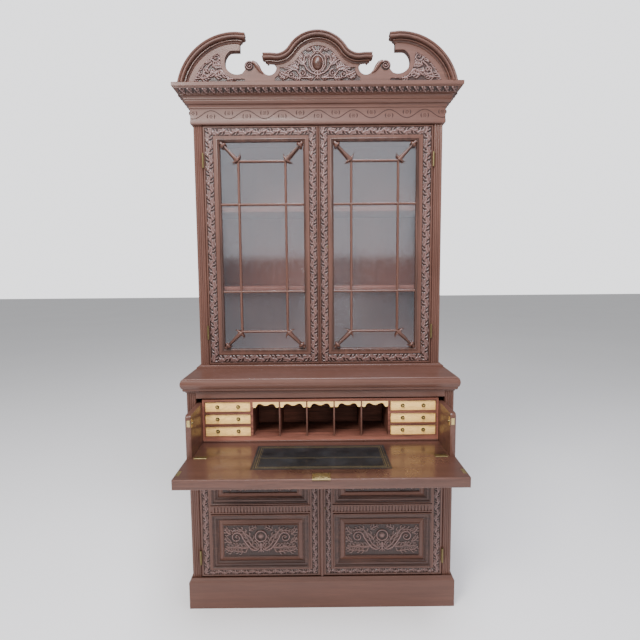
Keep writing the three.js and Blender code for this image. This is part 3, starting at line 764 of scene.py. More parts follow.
def build_cornice():
    """The stepped and hollowed mouldings of the cornice, with its carved sloping band."""
    low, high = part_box("cornice")
    half = high.x - 0.072
    z = low.z
    levels = [(0.014, z)] + roll_levels((0.014, z + 0.002), (0.0195, z + 0.0135), 5, -0.002)
    levels += [(0.0225, z + 0.0145), (0.0245, z + 0.0165)]
    levels += roll_levels((0.025, z + 0.0175), (0.029, z + 0.029), 6, 0.0022)
    levels += [(0.0325, z + 0.0305), (0.0325, z + 0.035)]
    levels += roll_levels((0.033, z + 0.0355), (0.0385, z + 0.0455), 5, -0.0022)
    levels += [(0.0425, z + 0.0465), (0.0425, z + 0.0497), (0.0455, z + 0.0512)]
    levels += [(0.0645, z + 0.0665), (0.0672, z + 0.0678), (0.0672, z + 0.0702)]
    levels += roll_levels((0.0695, z + 0.0712), (0.072, z + 0.0745), 3, 0.0)
    levels += [(0.072, high.z - 0.002), (0.0705, high.z)]
    bm = bmesh.new()
    moulded_block(bm, levels, half, CASE_FRONT, high.y)
    place_piece("cornice_moulding", bm, "oak_x", "case", ["cornice"])
    build_cornice_leaves(half, z)


def build_cornice_leaves(half, z):
    """Leaning leaves and berries round the sloping band of the cornice."""
    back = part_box("cornice")[1].y
    depth = back - CASE_FRONT
    foot, rise, run = 0.0462, 0.0145, 0.0185
    tilt = math.atan2(run, rise)
    width = math.hypot(rise, run)
    walls = (("front", half + foot, 0.0, (0, CASE_FRONT - foot)),
             ("left", depth / 2, -math.pi / 2, (-half - foot, (back + CASE_FRONT) / 2)),
             ("right", depth / 2, math.pi / 2, (half + foot, (back + CASE_FRONT) / 2)))
    for word, reach, turn, (x, y) in walls:
        carve = Relief(-reach, reach, 0.0, width, 0.0058)
        count = round(2 * reach / 0.0325)
        pitch = 2 * reach / count
        for i in range(count):
            place = -reach + (i + 0.5) * pitch
            carve.leaf(place + 0.010, 0.001, 2.25, width * 0.98, 0.017, 2, -0.9)
            rib = [(place + 0.010, 0.002), (place - 0.001, width * 0.55), (place - 0.006, width * 0.9)]
            carve.stroke(rib, 0.0034, 0.0046)
            carve.dab(place + 0.0085, width * 0.68, 0.0046, 0.9)
            carve.dab(place - 0.0105, width * 0.25, 0.0034, 0.8)
        lay = Matrix.Translation((x, y, z + 0.0518)) @ Matrix.Rotation(turn, 4, "Z")
        lay = lay @ Matrix.Rotation(tilt, 4, "X")
        carve.build(f"cornice_{word}_leaf_band", 0.0, "carved_x", "case", lay=lay)


def build_frieze():
    """The cut wave and the small roundels of the frieze, drawn as dark raised marks: painted shade standing
    in for the cuts.
    """
    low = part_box("frieze_board")[0]
    face = CASE_FRONT - 0.010
    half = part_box("upper_right_side")[1].x + 0.0085
    middle = low.z + 0.0435
    wave = sizes().wave_length
    bm = bmesh.new()
    line = [(x, middle + 0.0175 * math.cos(math.tau * x / wave)) for x in np.linspace(-half, half, 260)]
    sweep(bm, line, ((-0.0019, 0.0), (-0.0014, 0.0009), (0.0014, 0.0009), (0.0019, 0.0)), face)
    count = int(half / (wave / 2))
    for i in range(-count, count + 1):
        x = i * wave / 2
        z = middle + (-0.0075 if i % 2 == 0 else 0.0065)
        for turn in (-1, 1):
            crescent = arc_points((x, z), 0.0165, -38 if turn > 0 else 142, 38 if turn > 0 else 218, 8)
            widths = [0.0004 + 0.0023 * math.sin(math.pi * k / 8) for k in range(9)]
            loops = []
            for (px, pz), w in zip(crescent, widths):
                away = Vector((px - x, 0, pz - z)).normalized()
                spot = Vector((px, face, pz))
                loops.append([spot - away * w, spot - Vector((0, 0.0009, 0)), spot + away * w])
            rings(bm, loops)
        for k in range(7):
            angle = math.tau * k / 6
            reach = 0.0 if k == 6 else 0.0062
            matrix = Matrix.Translation((x + reach * math.cos(angle), face, z + reach * math.sin(angle)))
            bmesh.ops.create_icosphere(bm, subdivisions=1, radius=0.0021, matrix=matrix)
    place_piece("frieze_cut_pattern", bm, "painted_cut_shade", "case")


# ------------------------------------------------------------------ pediment
HORN = {"centre": (-0.348, -0.059), "radius": 0.261}
ARCH = {"end": -0.237, "flat": 0.1175, "neck": (-0.178, 0.180), "neck_radius": 0.065,
        "crown": (0.0, 0.0595), "crown_radius": 0.150}
BAY = ((-0.348, 0.0885), 0.0525)
VOLUTE = ((-0.293, 0.0700), 0.0225)
SMALL_BAY = ((-0.209, 0.0640), 0.0315)
CABOCHON_Z = 0.081                  # height of the boss and its ring above the cornice
JOINT = math.degrees(math.atan2(ARCH["neck"][1] - ARCH["crown"][1], ARCH["neck"][0]))


def foot_angle(radius, height=0.0):
    """Where a circle about the horn's centre comes down to a height above the cornice, in degrees."""
    return 180 - math.degrees(math.asin((height - HORN["centre"][1]) / radius))


def arch_half(inset, start_x):
    """The left half of the arch, offset inwards, from its flat end to the crown."""
    points = [(start_x, ARCH["flat"] - inset)]
    points += arc_points(ARCH["neck"], ARCH["neck_radius"] + inset, -90, JOINT - 180, 12)
    points += arc_points(ARCH["crown"], ARCH["crown_radius"] - inset, JOINT, 90, 16)[1:]
    return points


def mirror_path(points):
    """The same path on the other side, run backwards."""
    return [(-x, z) for x, z in reversed(points)]


def raised_path(points):
    """A path given above the cornice, lifted onto its top."""
    return [(x, z + CORNICE_TOP) for x, z in points]


def pediment_edge():
    """The outline of the pediment board's left half, from its foot to the crown."""
    radius = HORN["radius"] - 0.011
    points = arc_points(HORN["centre"], radius, foot_angle(radius), 86.9, 26)
    points += [(-0.334, 0.1345), (-0.368, 0.1345)]
    points += arc_points(*BAY, 122, 296, 24)
    points += arc_points(*VOLUTE, 214, 40, 22)
    points += arc_points(*SMALL_BAY, 214, 408, 24)
    points += arch_half(0.011, -0.200)
    return points


def spandrel():
    """The carved field of the left horn."""
    radius = HORN["radius"] - 0.062
    points = arc_points(HORN["centre"], radius, foot_angle(radius, 0.008), 112, 18)
    points += arc_points(BAY[0], BAY[1] + 0.017, 176, 262, 18)
    points += [(-0.318, 0.0185), (-0.312, 0.0125), (-0.316, 0.008)]
    return points


def tympanum():
    """The carved field under the arch."""
    left = [(-0.186, 0.008), (-0.186, 0.014)]
    left += arc_points(SMALL_BAY[0], SMALL_BAY[1] + 0.017, 300, 345, 6)
    left += [(ARCH["neck"][0] + 0.014, ARCH["flat"] - 0.053)]
    left += [p for p in arch_half(0.055, -0.160) if p[0] > -0.155]
    return left + mirror_path(left)[1:]


MOULDING = ((0.0, 0.0), (0.0, 0.0235), (0.0012, 0.0255), (0.0040, 0.0262), (0.0092, 0.0242), (0.0105, 0.0218),
            (0.0116, 0.0222), (0.0130, 0.0260), (0.0160, 0.0280), (0.0195, 0.0278), (0.0225, 0.0252),
            (0.0245, 0.0212), (0.0255, 0.0180), (0.0264, 0.0125), (0.0284, 0.0122), (0.0290, 0.0150),
            (0.0315, 0.0152), (0.0326, 0.0132), (0.0336, 0.0102), (0.0356, 0.0076), (0.0380, 0.0064),
            (0.0395, 0.0060), (0.0400, 0.0030), (0.0400, 0.0))
SHIELD = ((0.037, 0.118), (0.052, 0.112), (0.058, 0.096), (0.057, 0.076), (0.046, 0.056), (0.028, 0.042),
          (0.0, 0.032))
COLLAR = ((0.004, 0.132), (0.014, 0.122), (0.026, 0.112), (0.035, 0.096), (0.034, 0.072), (0.022, 0.052),
          (0.004, 0.044))
INNER_STEM = ((0.03, 0.02), (0.07, 0.022), (0.09, 0.052), (0.115, 0.056))
OUTER_STEM = ((0.115, 0.056), (0.14, 0.045), (0.16, 0.02))


def build_pediment():
    """The swan-neck pediment: board, borders, horns, arch, volutes and carving."""
    low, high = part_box("pediment_board")
    face = low.y
    step = sizes().border_step
    half = pediment_edge()
    outline = half + mirror_path(half)[1:]
    plate("pediment_back_board", [raised_path(outline)], face, high.y, "oak_x", "case",
          ["pediment_board"])
    left, middle = spandrel(), tympanum()
    openings = [left, middle, mirror_path(left)]
    plate("pediment_border", [raised_path(path) for path in [outline] + openings],
          face - step, face - 0.0001, "oak_x", "case")
    build_horns(face)
    build_spandrel_carving(left, face)
    build_tympanum_carving(middle, face)
    build_volutes(face - step)
    build_cabochon(face - step)


def build_cabochon(face):
    """The smooth oval boss in the middle of the arch."""
    radius, rise, foot = 0.02, 0.0165, -0.001
    bm = bmesh.new()
    dome = [(max(radius * math.sin(a), 0.0), rise * math.cos(a)) for a in np.radians(np.linspace(0, 90, 9))]
    stretch = Matrix.Translation((0, face, CORNICE_TOP + CABOCHON_Z)) @ Matrix.Diagonal((1, 1, 1.38, 1))
    turn = Matrix.Rotation(math.pi / 2, 4, "X")
    add_turned(bm, dome + [(radius, foot), (0.0, foot)], stretch @ turn, 32)
    place_piece("pediment_cabochon", bm, "oak_x", "case", sharp=60)


def build_horns(face):
    """The mouldings of the two horns, cut off level on the cornice, and of the arch."""
    radius = HORN["radius"]
    tip = math.degrees(math.acos((-0.306 - HORN["centre"][0]) / radius))
    horn = raised_path(arc_points(HORN["centre"], radius, foot_angle(radius), tip, 40))
    while horn[-2][0] > -0.340:
        del horn[-2]
    for word, side in SIDES:
        bm = bmesh.new()
        sweep(bm, horn, MOULDING, face, -side, ("end",), face + 0.012)
        bmesh.ops.bisect_plane(bm, geom=bm.verts[:] + bm.edges[:] + bm.faces[:], dist=1e-6,
                               plane_co=(0, 0, CORNICE_TOP), plane_no=(0, 0, 1), clear_inner=True)
        rim = [edge for edge in bm.edges if len(edge.link_faces) == 1]
        bmesh.ops.holes_fill(bm, edges=rim, sides=0)
        place_piece(f"{word}_horn_moulding", bm, "oak_x", "case", [f"{word}_horn"])
    left = arch_half(0.0, ARCH["end"])
    bm = bmesh.new()
    dense = [left[0], (-0.200, ARCH["flat"])] + left[1:]
    sweep(bm, raised_path(dense + mirror_path(dense)[1:]), MOULDING, face, 1, ("start", "end"), face + 0.012)
    place_piece("arch_moulding", bm, "oak_x", "case", ["centre_arch"])


def build_spandrel_carving(outline, face):
    """Three scrolls among leaves in the field of each horn."""
    xs, zs = zip(*outline)
    z0 = CORNICE_TOP
    carve = Relief(min(xs), max(xs), z0 + min(zs), z0 + max(zs), sizes().panel_relief)
    carve.scroll(-0.478, z0 + 0.050, 0.022, math.pi * 0.1, 1.3, 0.0042, -1)
    carve.scroll(-0.437, z0 + 0.105, 0.018, math.pi * 1.1, 1.2, 0.0036, 1)
    carve.scroll(-0.395, z0 + 0.034, 0.014, math.pi * 0.9, 1.1, 0.0032, 1)
    rising = ((-0.545, 0.016), (-0.505, 0.022), (-0.470, 0.072), (-0.455, 0.085))
    trailing = ((-0.455, 0.030), (-0.42, 0.055), (-0.385, 0.020), (-0.335, 0.018))
    carve.stroke([(x, z0 + z) for x, z in rising], 0.003, 0.0045)
    carve.stroke([(x, z0 + z) for x, z in trailing], 0.0045, 0.0022)
    for x, z, angle, length, width, curl in (
            (-0.540, 0.018, 0.5, 0.046, 0.030, 0.6), (-0.515, 0.055, 1.2, 0.040, 0.028, -0.8),
            (-0.500, 0.020, 0.1, 0.044, 0.026, 0.7), (-0.478, 0.085, 1.3, 0.040, 0.030, -0.9),
            (-0.450, 0.072, 0.4, 0.040, 0.030, -0.9), (-0.425, 0.120, 0.9, 0.034, 0.026, -1.0),
            (-0.440, 0.030, 0.2, 0.046, 0.030, 0.8), (-0.418, 0.075, 1.5, 0.034, 0.026, -0.6),
            (-0.390, 0.016, 0.0, 0.040, 0.018, 0.3), (-0.455, 0.135, 1.0, 0.03, 0.022, -0.9),
            (-0.462, 0.048, -0.4, 0.034, 0.022, 1.2), (-0.530, 0.080, 1.1, 0.032, 0.020, -0.5),
            (-0.500, 0.105, 1.0, 0.034, 0.022, -0.5)):
        carve.leaf(x, z0 + z, angle, length, width, 4, curl)
    carve.stipple(0.14)
    for word, side in SIDES:
        carve.build(f"{word}_spandrel_carving", face - 0.0001, "carved_x", "case", -side,
                    raised_path(outline))


def build_tympanum_carving(outline, face):
    """A shield of two collars round the boss, with scrolls and leaves running out to the sides."""
    xs, zs = zip(*outline)
    z0 = CORNICE_TOP
    carve = Relief(min(xs), max(xs), z0 + min(zs), z0 + max(zs), sizes().panel_relief)
    carve.ring(0, z0 + CABOCHON_Z, 0.0245, 0.0032, 1.32)
    for side in (-1, 1):
        for curve, start, end, height in (
                (SHIELD, 0.0034, 0.0040, 1.0), (COLLAR, 0.0050, 0.0044, 0.8)):
            carve.stroke([(side * x, z0 + z) for x, z in curve], start, end, height)
        carve.scroll(side * 0.040, z0 + 0.108, 0.010, math.pi * 0.5, 1.2, 0.0028, side)
        carve.scroll(side * 0.066, z0 + 0.040, 0.015, math.pi * 0.5, 1.3, 0.0034, side)
        carve.scroll(side * 0.112, z0 + 0.034, 0.017, math.pi * 0.5, 1.3, 0.0034, -side)
        carve.scroll(side * 0.092, z0 + 0.080, 0.014, math.pi * 0.5, 1.2, 0.003, side)
        for curve, start, end in ((INNER_STEM, 0.004, 0.0028), (OUTER_STEM, 0.003, 0.0022)):
            carve.stroke([(side * x, z0 + z) for x, z in curve], start, end)
        for x, z, angle, length, width, curl in (
                (0.060, 0.075, 1.2, 0.034, 0.026, -0.9), (0.085, 0.060, 0.6, 0.036, 0.028, -0.8),
                (0.066, 0.105, 0.9, 0.030, 0.024, -0.9), (0.100, 0.085, 0.2, 0.026, 0.020, -0.7),
                (0.125, 0.030, 0.2, 0.040, 0.024, 0.5), (0.020, 0.020, 0.2, 0.034, 0.020, 0.6),
                (0.075, 0.018, 0.0, 0.036, 0.020, 0.4), (0.030, 0.136, 0.6, 0.026, 0.018, -0.8),
                (0.012, 0.128, 1.3, 0.024, 0.016, -0.7), (0.142, 0.018, 0.4, 0.030, 0.016, 0.6),
                (0.118, 0.062, 0.4, 0.028, 0.020, -0.9)):
            heading = angle if side > 0 else math.pi - angle
            carve.leaf(side * x, z0 + z, heading, length, width, 4, curl * side)
    carve.leaf(0, z0 + 0.050, -math.pi / 2, 0.034, 0.026, 3, 0.0)
    carve.dab(0, z0 + 0.128, 0.0085, 1.0, 0.9)
    carve.stipple(0.14)
    carve.build("tympanum_carving", face - 0.0001, "carved_x", "case", 1, raised_path(outline))


def build_volutes(face):
    """The scrolled ends and sloping leaves between the two cut-outs."""
    (cx, cz), radius = VOLUTE
    for word, side in SIDES:
        z0 = CORNICE_TOP
        carve = Relief(cx - radius, cx + radius, z0 + cz - radius, z0 + cz + radius, 0.009)
        carve.scroll(cx, z0 + cz, radius * 0.80, math.pi * 0.25, 1.9, 0.0036, 1, inner=0.2)
        rim = raised_path(arc_points((cx, cz), radius - 0.0008, 0, 352, 40))
        carve.build(f"{word}_volute", face - 0.0001, "carved_x", "case", -side, rim)
        bm = bmesh.new()
        path = [(-0.281, 0.0885), (-0.268, 0.080), (-0.256, 0.064), (-0.247, 0.050), (-0.235, 0.0385)]
        loops = []
        for i, (x, z) in enumerate(path):
            wide = 0.0098 * math.sin(math.pi * (0.22 + 0.7 * i / (len(path) - 1)))
            deep = 0.010 * math.sin(math.pi * (0.3 + 0.62 * i / (len(path) - 1)))
            spot = Vector((-side * x, 0, z + z0))
            across = Vector((-side * 0.75, 0, 0.66))
            loops.append([spot + across * (wide * math.cos(a)) + Vector((0, face - deep * math.sin(a), 0))
                          for a in np.linspace(0, math.pi, 7)])
        rings(bm, loops)
        place_piece(f"{word}_volute_leaf", bm, "oak_x", "case", sharp=50)


# ------------------------------------------------------------------ doors
UPPER_PROFILE = ((0.0, 0.022), (0.0, 0.0012), (0.018, 0.0), (0.085, 0.0), (0.10, 0.0014),
                 (0.118, 0.0032), (0.60, 0.0032), (0.618, 0.0014), (0.635, 0.0), (0.80, 0.0),
                 (0.815, -0.0008), (0.845, -0.0014), (0.875, -0.0008), (0.89, 0.0012), (0.93, 0.0022),
                 (0.97, 0.0042), (1.0, 0.0075), (1.0, 0.022))
UPPER_BAND = (0.118, 0.60)          # the leaf channel, as shares of the frame's width


def leaf_border(body, outer, inner, share, ground, side, period):
    """Running-leaf carving in the channel of a mitred frame."""
    edge = [[o + (i - o) * s for o, i in zip(outer, inner)] for s in share]
    (ox0, ox1, oz0, oz1), (ix0, ix1, iz0, iz1) = edge
    height = sizes().band_relief
    runs = {"inner_stile": (ox0, ix0, oz0, oz1), "outer_stile": (ix1, ox1, oz0, oz1),
            "top_rail": (ix0, ix1, iz1, oz1), "bottom_rail": (ix0, ix1, oz0, iz0)}
    for word, (x0, x1, z0, z1) in runs.items():
        carve = Relief(x0, x1, z0, z1, height)
        running_leaf(carve, x0, x1, z0, z1, period)
        carve.stipple(0.08)
        finish = "carved_z" if "stile" in word else "carved_x"
        carve.build(f"{body}_{word}_leaves", ground, finish, body, side)


def build_upper_doors():
    """The glazed doors: mitred frames with running-leaf borders."""
    rebate = 0.0067
    for word, side in SIDES:
        body = f"upper_{word}_door"
        glass_low, glass_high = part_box("upper_right_door_glass")
        inner = (glass_low.x + rebate, glass_high.x - rebate, glass_low.z + rebate, glass_high.z - rebate)
        low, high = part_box("upper_right_door_frame")
        outer = (low.x, high.x, low.z, high.z)
        bm = bmesh.new()
        mitred_frame(bm, outer, inner, CASE_FRONT, UPPER_PROFILE, side)
        place_piece(f"{body}_moulded_frame", bm, "oak_z", body, [f"{body}_frame"])
        leaf_border(body, outer, inner, UPPER_BAND, CASE_FRONT + UPPER_RELIEF_GROUND, side, 0.062)
    build_keyhole("upper_right_door", UPPER_KEYHOLE, CASE_FRONT)


def build_keyhole(body, place, front):
    """A small brass keyhole lining."""
    x, z = place
    bm = bmesh.new()
    ring = [(0.0032, 0.0), (0.0048, 0.0), (0.0048, -0.0012), (0.0040, -0.0018), (0.0032, -0.0012),
            (0.0032, 0.0)]
    matrix = Matrix.Translation((x, front, z)) @ Matrix.Rotation(-math.pi / 2, 4, "X")
    add_turned(bm, ring, matrix, 20)
    place_piece(f"{body}_keyhole_lining", bm, "dark_brass", body)


def bar_between(bm, start, end, width, front, back):
    """A straight glazing bar with a rounded front."""
    start, end = Vector(start), Vector(end)
    along = (end - start).normalized()
    across = Vector((-along.z, 0, along.x))
    rounded = [(-0.5 * math.cos(a), front + (back - front) * 0.55 * (1 - math.sin(a)))
               for a in np.linspace(0, math.pi, 9)]
    section = [(-0.5, back)] + rounded + [(0.5, back)]
    loops = []
    for spot in (start, end):
        loops.append([Vector((spot.x, y, spot.z)) + across * (share * width) for share, y in section])
    rings(bm, loops)


def build_glazing():
    """Glazing bars with turned corner pieces, caps and sprigs."""
    low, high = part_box("upper_right_glazing_bars")
    glass_low, glass_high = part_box("upper_right_door_glass")
    x0, x1 = low.x, high.x
    z0, z1 = glass_low.z + 0.007, glass_high.z - 0.007
    inset_x, inset_z = 0.0805, 0.0795
    ix0, ix1, iz0, iz1 = x0 + inset_x, x1 - inset_x, z0 + inset_z - 0.0005, z1 - inset_z - 0.0045
    front, back = CASE_FRONT + 0.003, CASE_FRONT + 0.013
    for word, side in SIDES:
        bm = bmesh.new()
        for z in (iz0, iz1):
            bar_between(bm, (side * ix0, 0, z), (side * ix1, 0, z), GLAZING_BAR_WIDTH, front, back)
        for x in (ix0, ix1):
            bar_between(bm, (side * x, 0, iz0), (side * x, 0, iz1), GLAZING_BAR_WIDTH, front + 0.0003, back)
        for z in GLAZING_CROSS_BARS:
            bar_between(bm, (side * x0, 0, z), (side * x1, 0, z), GLAZING_BAR_WIDTH, front + 0.0001, back)
        place_piece(f"upper_{word}_door_bars", bm, "oak_z", f"upper_{word}_door",
                    [f"upper_{word}_glazing_bars"], sharp=40)
        bm = bmesh.new()
        for x, far_x in ((ix0, x0), (ix1, x1)):
            for z, far_z in ((iz0, z0), (iz1, z1)):
                inner_end = Vector((side * x, front - 0.001, z))
                outer_end = Vector((side * far_x, front - 0.001, far_z))
                add_corner_piece(bm, inner_end, outer_end)
        place_piece(f"upper_{word}_door_corner_turnings", bm, "oak_z", f"upper_{word}_door",
                    sharp=50)


def add_corner_piece(bm, inner_end, outer_end):
    """A tapered turned bar with a moulded cap, and three small sprigs at its inner end."""
    along = outer_end - inner_end
    length = along.length
    turn = along.to_track_quat("Z", "Y").to_matrix().to_4x4()
    matrix = Matrix.Translation(inner_end) @ turn
    body = [(0.0, 0.0), (0.0085, 0.001), (0.0098, 0.006), (0.0098, 0.018), (0.0084, length * 0.35),
            (0.0064, length * 0.68), (0.0066, length * 0.74), (0.0140, length * 0.76),
            (0.0160, length * 0.80), (0.0140, length * 0.84), (0.0085, length * 0.86),
            (0.0062, length * 0.965), (0.0, length * 0.97)]
    add_turned(bm, body, matrix, 16)
    forward = along.normalized()
    for angle, reach in ((-1.2, 0.036), (0.0, 0.012), (1.2, 0.036)):
        way = Matrix.Rotation(angle, 3, "Y") @ (-forward)
        hook = Matrix.Rotation(angle * 2.0, 3, "Y") @ (-forward)
        loops = []
        for i in range(6):
            share = i / 5
            spot = inner_end + forward * 0.010 + way * (reach * share)
            spot = spot + (hook - way) * (reach * 0.5 * share * share)
            size = 0.0078 * (1 - 0.72 * share)
            side_way = Vector((-way.z, 0, way.x))
            loops.append([spot + side_way * (size * math.cos(a))
                          + Vector((0, -size * math.sin(a) * 0.9 - 0.001, 0))
                          for a in np.linspace(0, math.tau, 9)[:-1]])
        rings(bm, loops)


LOWER_PROFILE = ((0.0, 0.022), (0.0, 0.0012), (0.02, 0.0), (0.20, 0.0), (0.215, 0.003), (0.76, 0.003),
                 (0.775, 0.0), (1.0, 0.0), (1.0, 0.022))
LOWER_BAND = (0.215, 0.76)
PANEL_MOULDING = ((0.0, 0.0005), (0.0, -0.0055), (0.05, -0.0078), (0.13, -0.0086), (0.21, -0.0072),
                  (0.25, -0.0052), (0.33, -0.0048), (0.36, -0.0018), (0.44, -0.0004), (0.56, 0.0004),
                  (0.68, -0.0006), (0.72, 0.0024), (0.80, 0.0030), (0.86, 0.0052), (0.94, 0.0064),
                  (1.0, 0.0072), (1.0, 0.0105), (0.0, 0.0105))
PANEL_BEVEL = ((0.0, 0.013), (0.0, 0.0105), (0.08, 0.0104), (0.12, 0.0085), (0.74, 0.0016),
               (0.78, -0.0006), (0.86, -0.0022), (0.94, -0.0012), (1.0, 0.0006), (1.0, 0.013))


def inset_rect(rect, amount):
    """A rectangle (x0, x1, z0, z1) drawn in on all sides."""
    return (rect[0] + amount, rect[1] - amount, rect[2] + amount, rect[3] - amount)


def build_lower_doors():
    """The cupboard doors: leaf borders, stepped panel mouldings, dentils and carved fields."""
    for word, side in SIDES:
        body = f"lower_{word}_door"
        low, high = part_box(f"{body}_frame")
        xs = sorted((abs(high.x), abs(low.x))) if side < 0 else (low.x, high.x)
        astragal = 0.0175 if side > 0 else 0.0
        rects = {}
        for level in ("upper", "lower"):
            panel_low, panel_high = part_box(f"{body}_{level}_panel")
            near, far = sorted((side * panel_low.x, side * panel_high.x))
            rects[level] = inset_rect((near, far, panel_low.z, panel_high.z), 0.0077)
        first, second = rects["lower"], rects["upper"]
        outer = (xs[0] + astragal, xs[1], low.z, high.z)
        inner = (first[0] - 0.004, first[1] + 0.004, first[2] - 0.004, second[3] + 0.004)
        bm = bmesh.new()
        mitred_frame(bm, outer, inner, CARCASS_FRONT, LOWER_PROFILE, side)
        middle_low, middle_high = first[3] + 0.001, second[2] - 0.001
        ends = sorted((side * inner[0], side * inner[1]))
        add_box(bm, (ends[0], CARCASS_FRONT, middle_low), (ends[1], CARCASS_FRONT + 0.022, middle_high))
        place_piece(f"{body}_moulded_frame", bm, "oak_z", body, [f"{body}_frame"])
        leaf_border(body, outer, inner, LOWER_BAND, CARCASS_FRONT + LOWER_RELIEF_GROUND, side, 0.052)
        for level, rect in rects.items():
            build_panel(f"{body}_{level}", body, rect, side)
        build_dentils(body, inner, middle_low, middle_high, side)
    build_astragal()
    build_keyhole("lower_right_door", LOWER_KEYHOLE, CARCASS_FRONT)


def build_panel(name, body, rect, side):
    """One panel: a stepped moulding, a bevel and a carved field."""
    outer = inset_rect(rect, -0.0035)
    bm = bmesh.new()
    mitred_frame(bm, outer, inset_rect(rect, 0.0265), CARCASS_FRONT, PANEL_MOULDING, side)
    place_piece(f"{name}_panel_moulding", bm, "oak_x", body)
    field = inset_rect(rect, 0.0500)
    bm = bmesh.new()
    mitred_frame(bm, inset_rect(rect, 0.0262), field, CARCASS_FRONT, PANEL_BEVEL, side)
    place_piece(f"{name}_panel_bevel", bm, "oak_x", body, [f"{name}_panel"])
    carve_field(f"{name}_panel_carving", body, field, side)


def carve_field(name, body, field, side):
    """A roundel between a pair of S-scrolls, with sprays of leaves on a punched ground."""
    x0, x1, z0, z1 = field
    cx, cz = (x0 + x1) / 2, (z0 + z1) / 2
    w, h = (x1 - x0) / 2, (z1 - z0) / 2
    carve = Relief(x0, x1, z0, z1, sizes().panel_relief)
    top = cz + h * 0.30
    carve.ring(cx, top, h * 0.34, 0.0036)
    carve.dab(cx, top, h * 0.20, 1.0)
    for hand in (-1, 1):
        def at(u, v):
            return cx + hand * u * w, cz + v * h
        volute = at(0.66, 0.22)
        start = 1.0 * math.pi if hand > 0 else 0.0
        carve.scroll(*volute, h * 0.36, start, 1.45, 0.0042, -hand, inner=0.22)
        joint = (volute[0] - hand * h * 0.36, volute[1])
        stem = [joint, at(0.40, -0.15), at(0.28, -0.50), at(0.16, -0.62), at(0.07, -0.55)]
        carve.stroke(stem, 0.0044, 0.0036)
        for u, v, angle, length, width, curl in (
                (0.12, -0.50, 0.5, 0.9, 0.50, 0.9), (0.36, -0.42, -0.2, 0.8, 0.55, 0.8),
                (0.62, -0.30, -0.5, 0.75, 0.5, 1.0), (0.82, -0.10, 0.2, 0.5, 0.42, 1.2),
                (0.40, 0.20, 1.4, 0.72, 0.5, -1.0), (0.24, 0.05, 1.1, 0.75, 0.42, -0.9),
                (0.84, 0.45, 0.5, 0.5, 0.42, 0.9), (0.58, 0.66, 0.2, 0.55, 0.36, -0.8),
                (0.30, 0.70, 2.4, 0.5, 0.34, 0.7), (0.50, -0.70, 0.0, 0.6, 0.36, 0.4),
                (0.78, -0.66, 0.1, 0.5, 0.4, 0.7), (0.05, -0.35, 1.2, 0.5, 0.3, -0.6)):
            heading = angle if hand > 0 else math.pi - angle
            carve.leaf(*at(u, v), heading, length * h, width * h, 3, curl * hand, 0.85)
    carve.leaf(cx, cz - 0.2 * h, -math.pi / 2, h * 0.5, h * 0.42, 3, 0.0)
    carve.stipple(0.16)
    carve.build(name, CARCASS_FRONT + 0.0035, "carved_x", body, side, back=0.004)


def build_dentils(body, inner, z0, z1, side):
    """A dentil course between fillets on the middle rail."""
    face = CARCASS_FRONT
    left, right = inner[0] + 0.004, inner[1] - 0.004
    middle = (z0 + z1) / 2
    bm = bmesh.new()
    for low, high, stand in ((0.0125, 0.0185, 0.0068), (-0.0185, -0.0125, 0.0050)):
        ends = sorted((side * (left - 0.006), side * (right + 0.006)))
        add_box(bm, (ends[0], face - stand, middle + low), (ends[1], face + 0.001, middle + high), 0.0012)
    pitch = 0.0138
    count = round((right - left) / pitch)
    for i in range(count):
        x = side * (left + (i + 0.5) * (right - left) / count)
        add_box(bm, (x - 0.0047, face - 0.0052, middle - 0.0118),
                (x + 0.0047, face + 0.001, middle + 0.0122), 0.0007, 1)
    place_piece(f"{body}_dentils", bm, "oak_x", body)


def build_astragal():
    """The beaded strip on the meeting edge of the right-hand cupboard door."""
    low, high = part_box("lower_right_door_frame")
    bm = bmesh.new()
    width = 0.0172
    section = [(0.0, 0.012), (0.0, -0.001), (0.0015, -0.0024)]
    section += [(0.0030 + 0.0056 * (1 - math.cos(a)), -0.0024 - 0.0052 * math.sin(a))
                for a in np.linspace(0, math.pi, 9)]
    section += [(width - 0.0015, -0.0024), (width, -0.001), (width, 0.012)]
    loops = [[(low.x + x, CARCASS_FRONT + y, z) for x, y in section] for z in (low.z, high.z)]
    rings(bm, loops)
    place_piece("lower_right_door_astragal", bm, "oak_z", "lower_right_door")


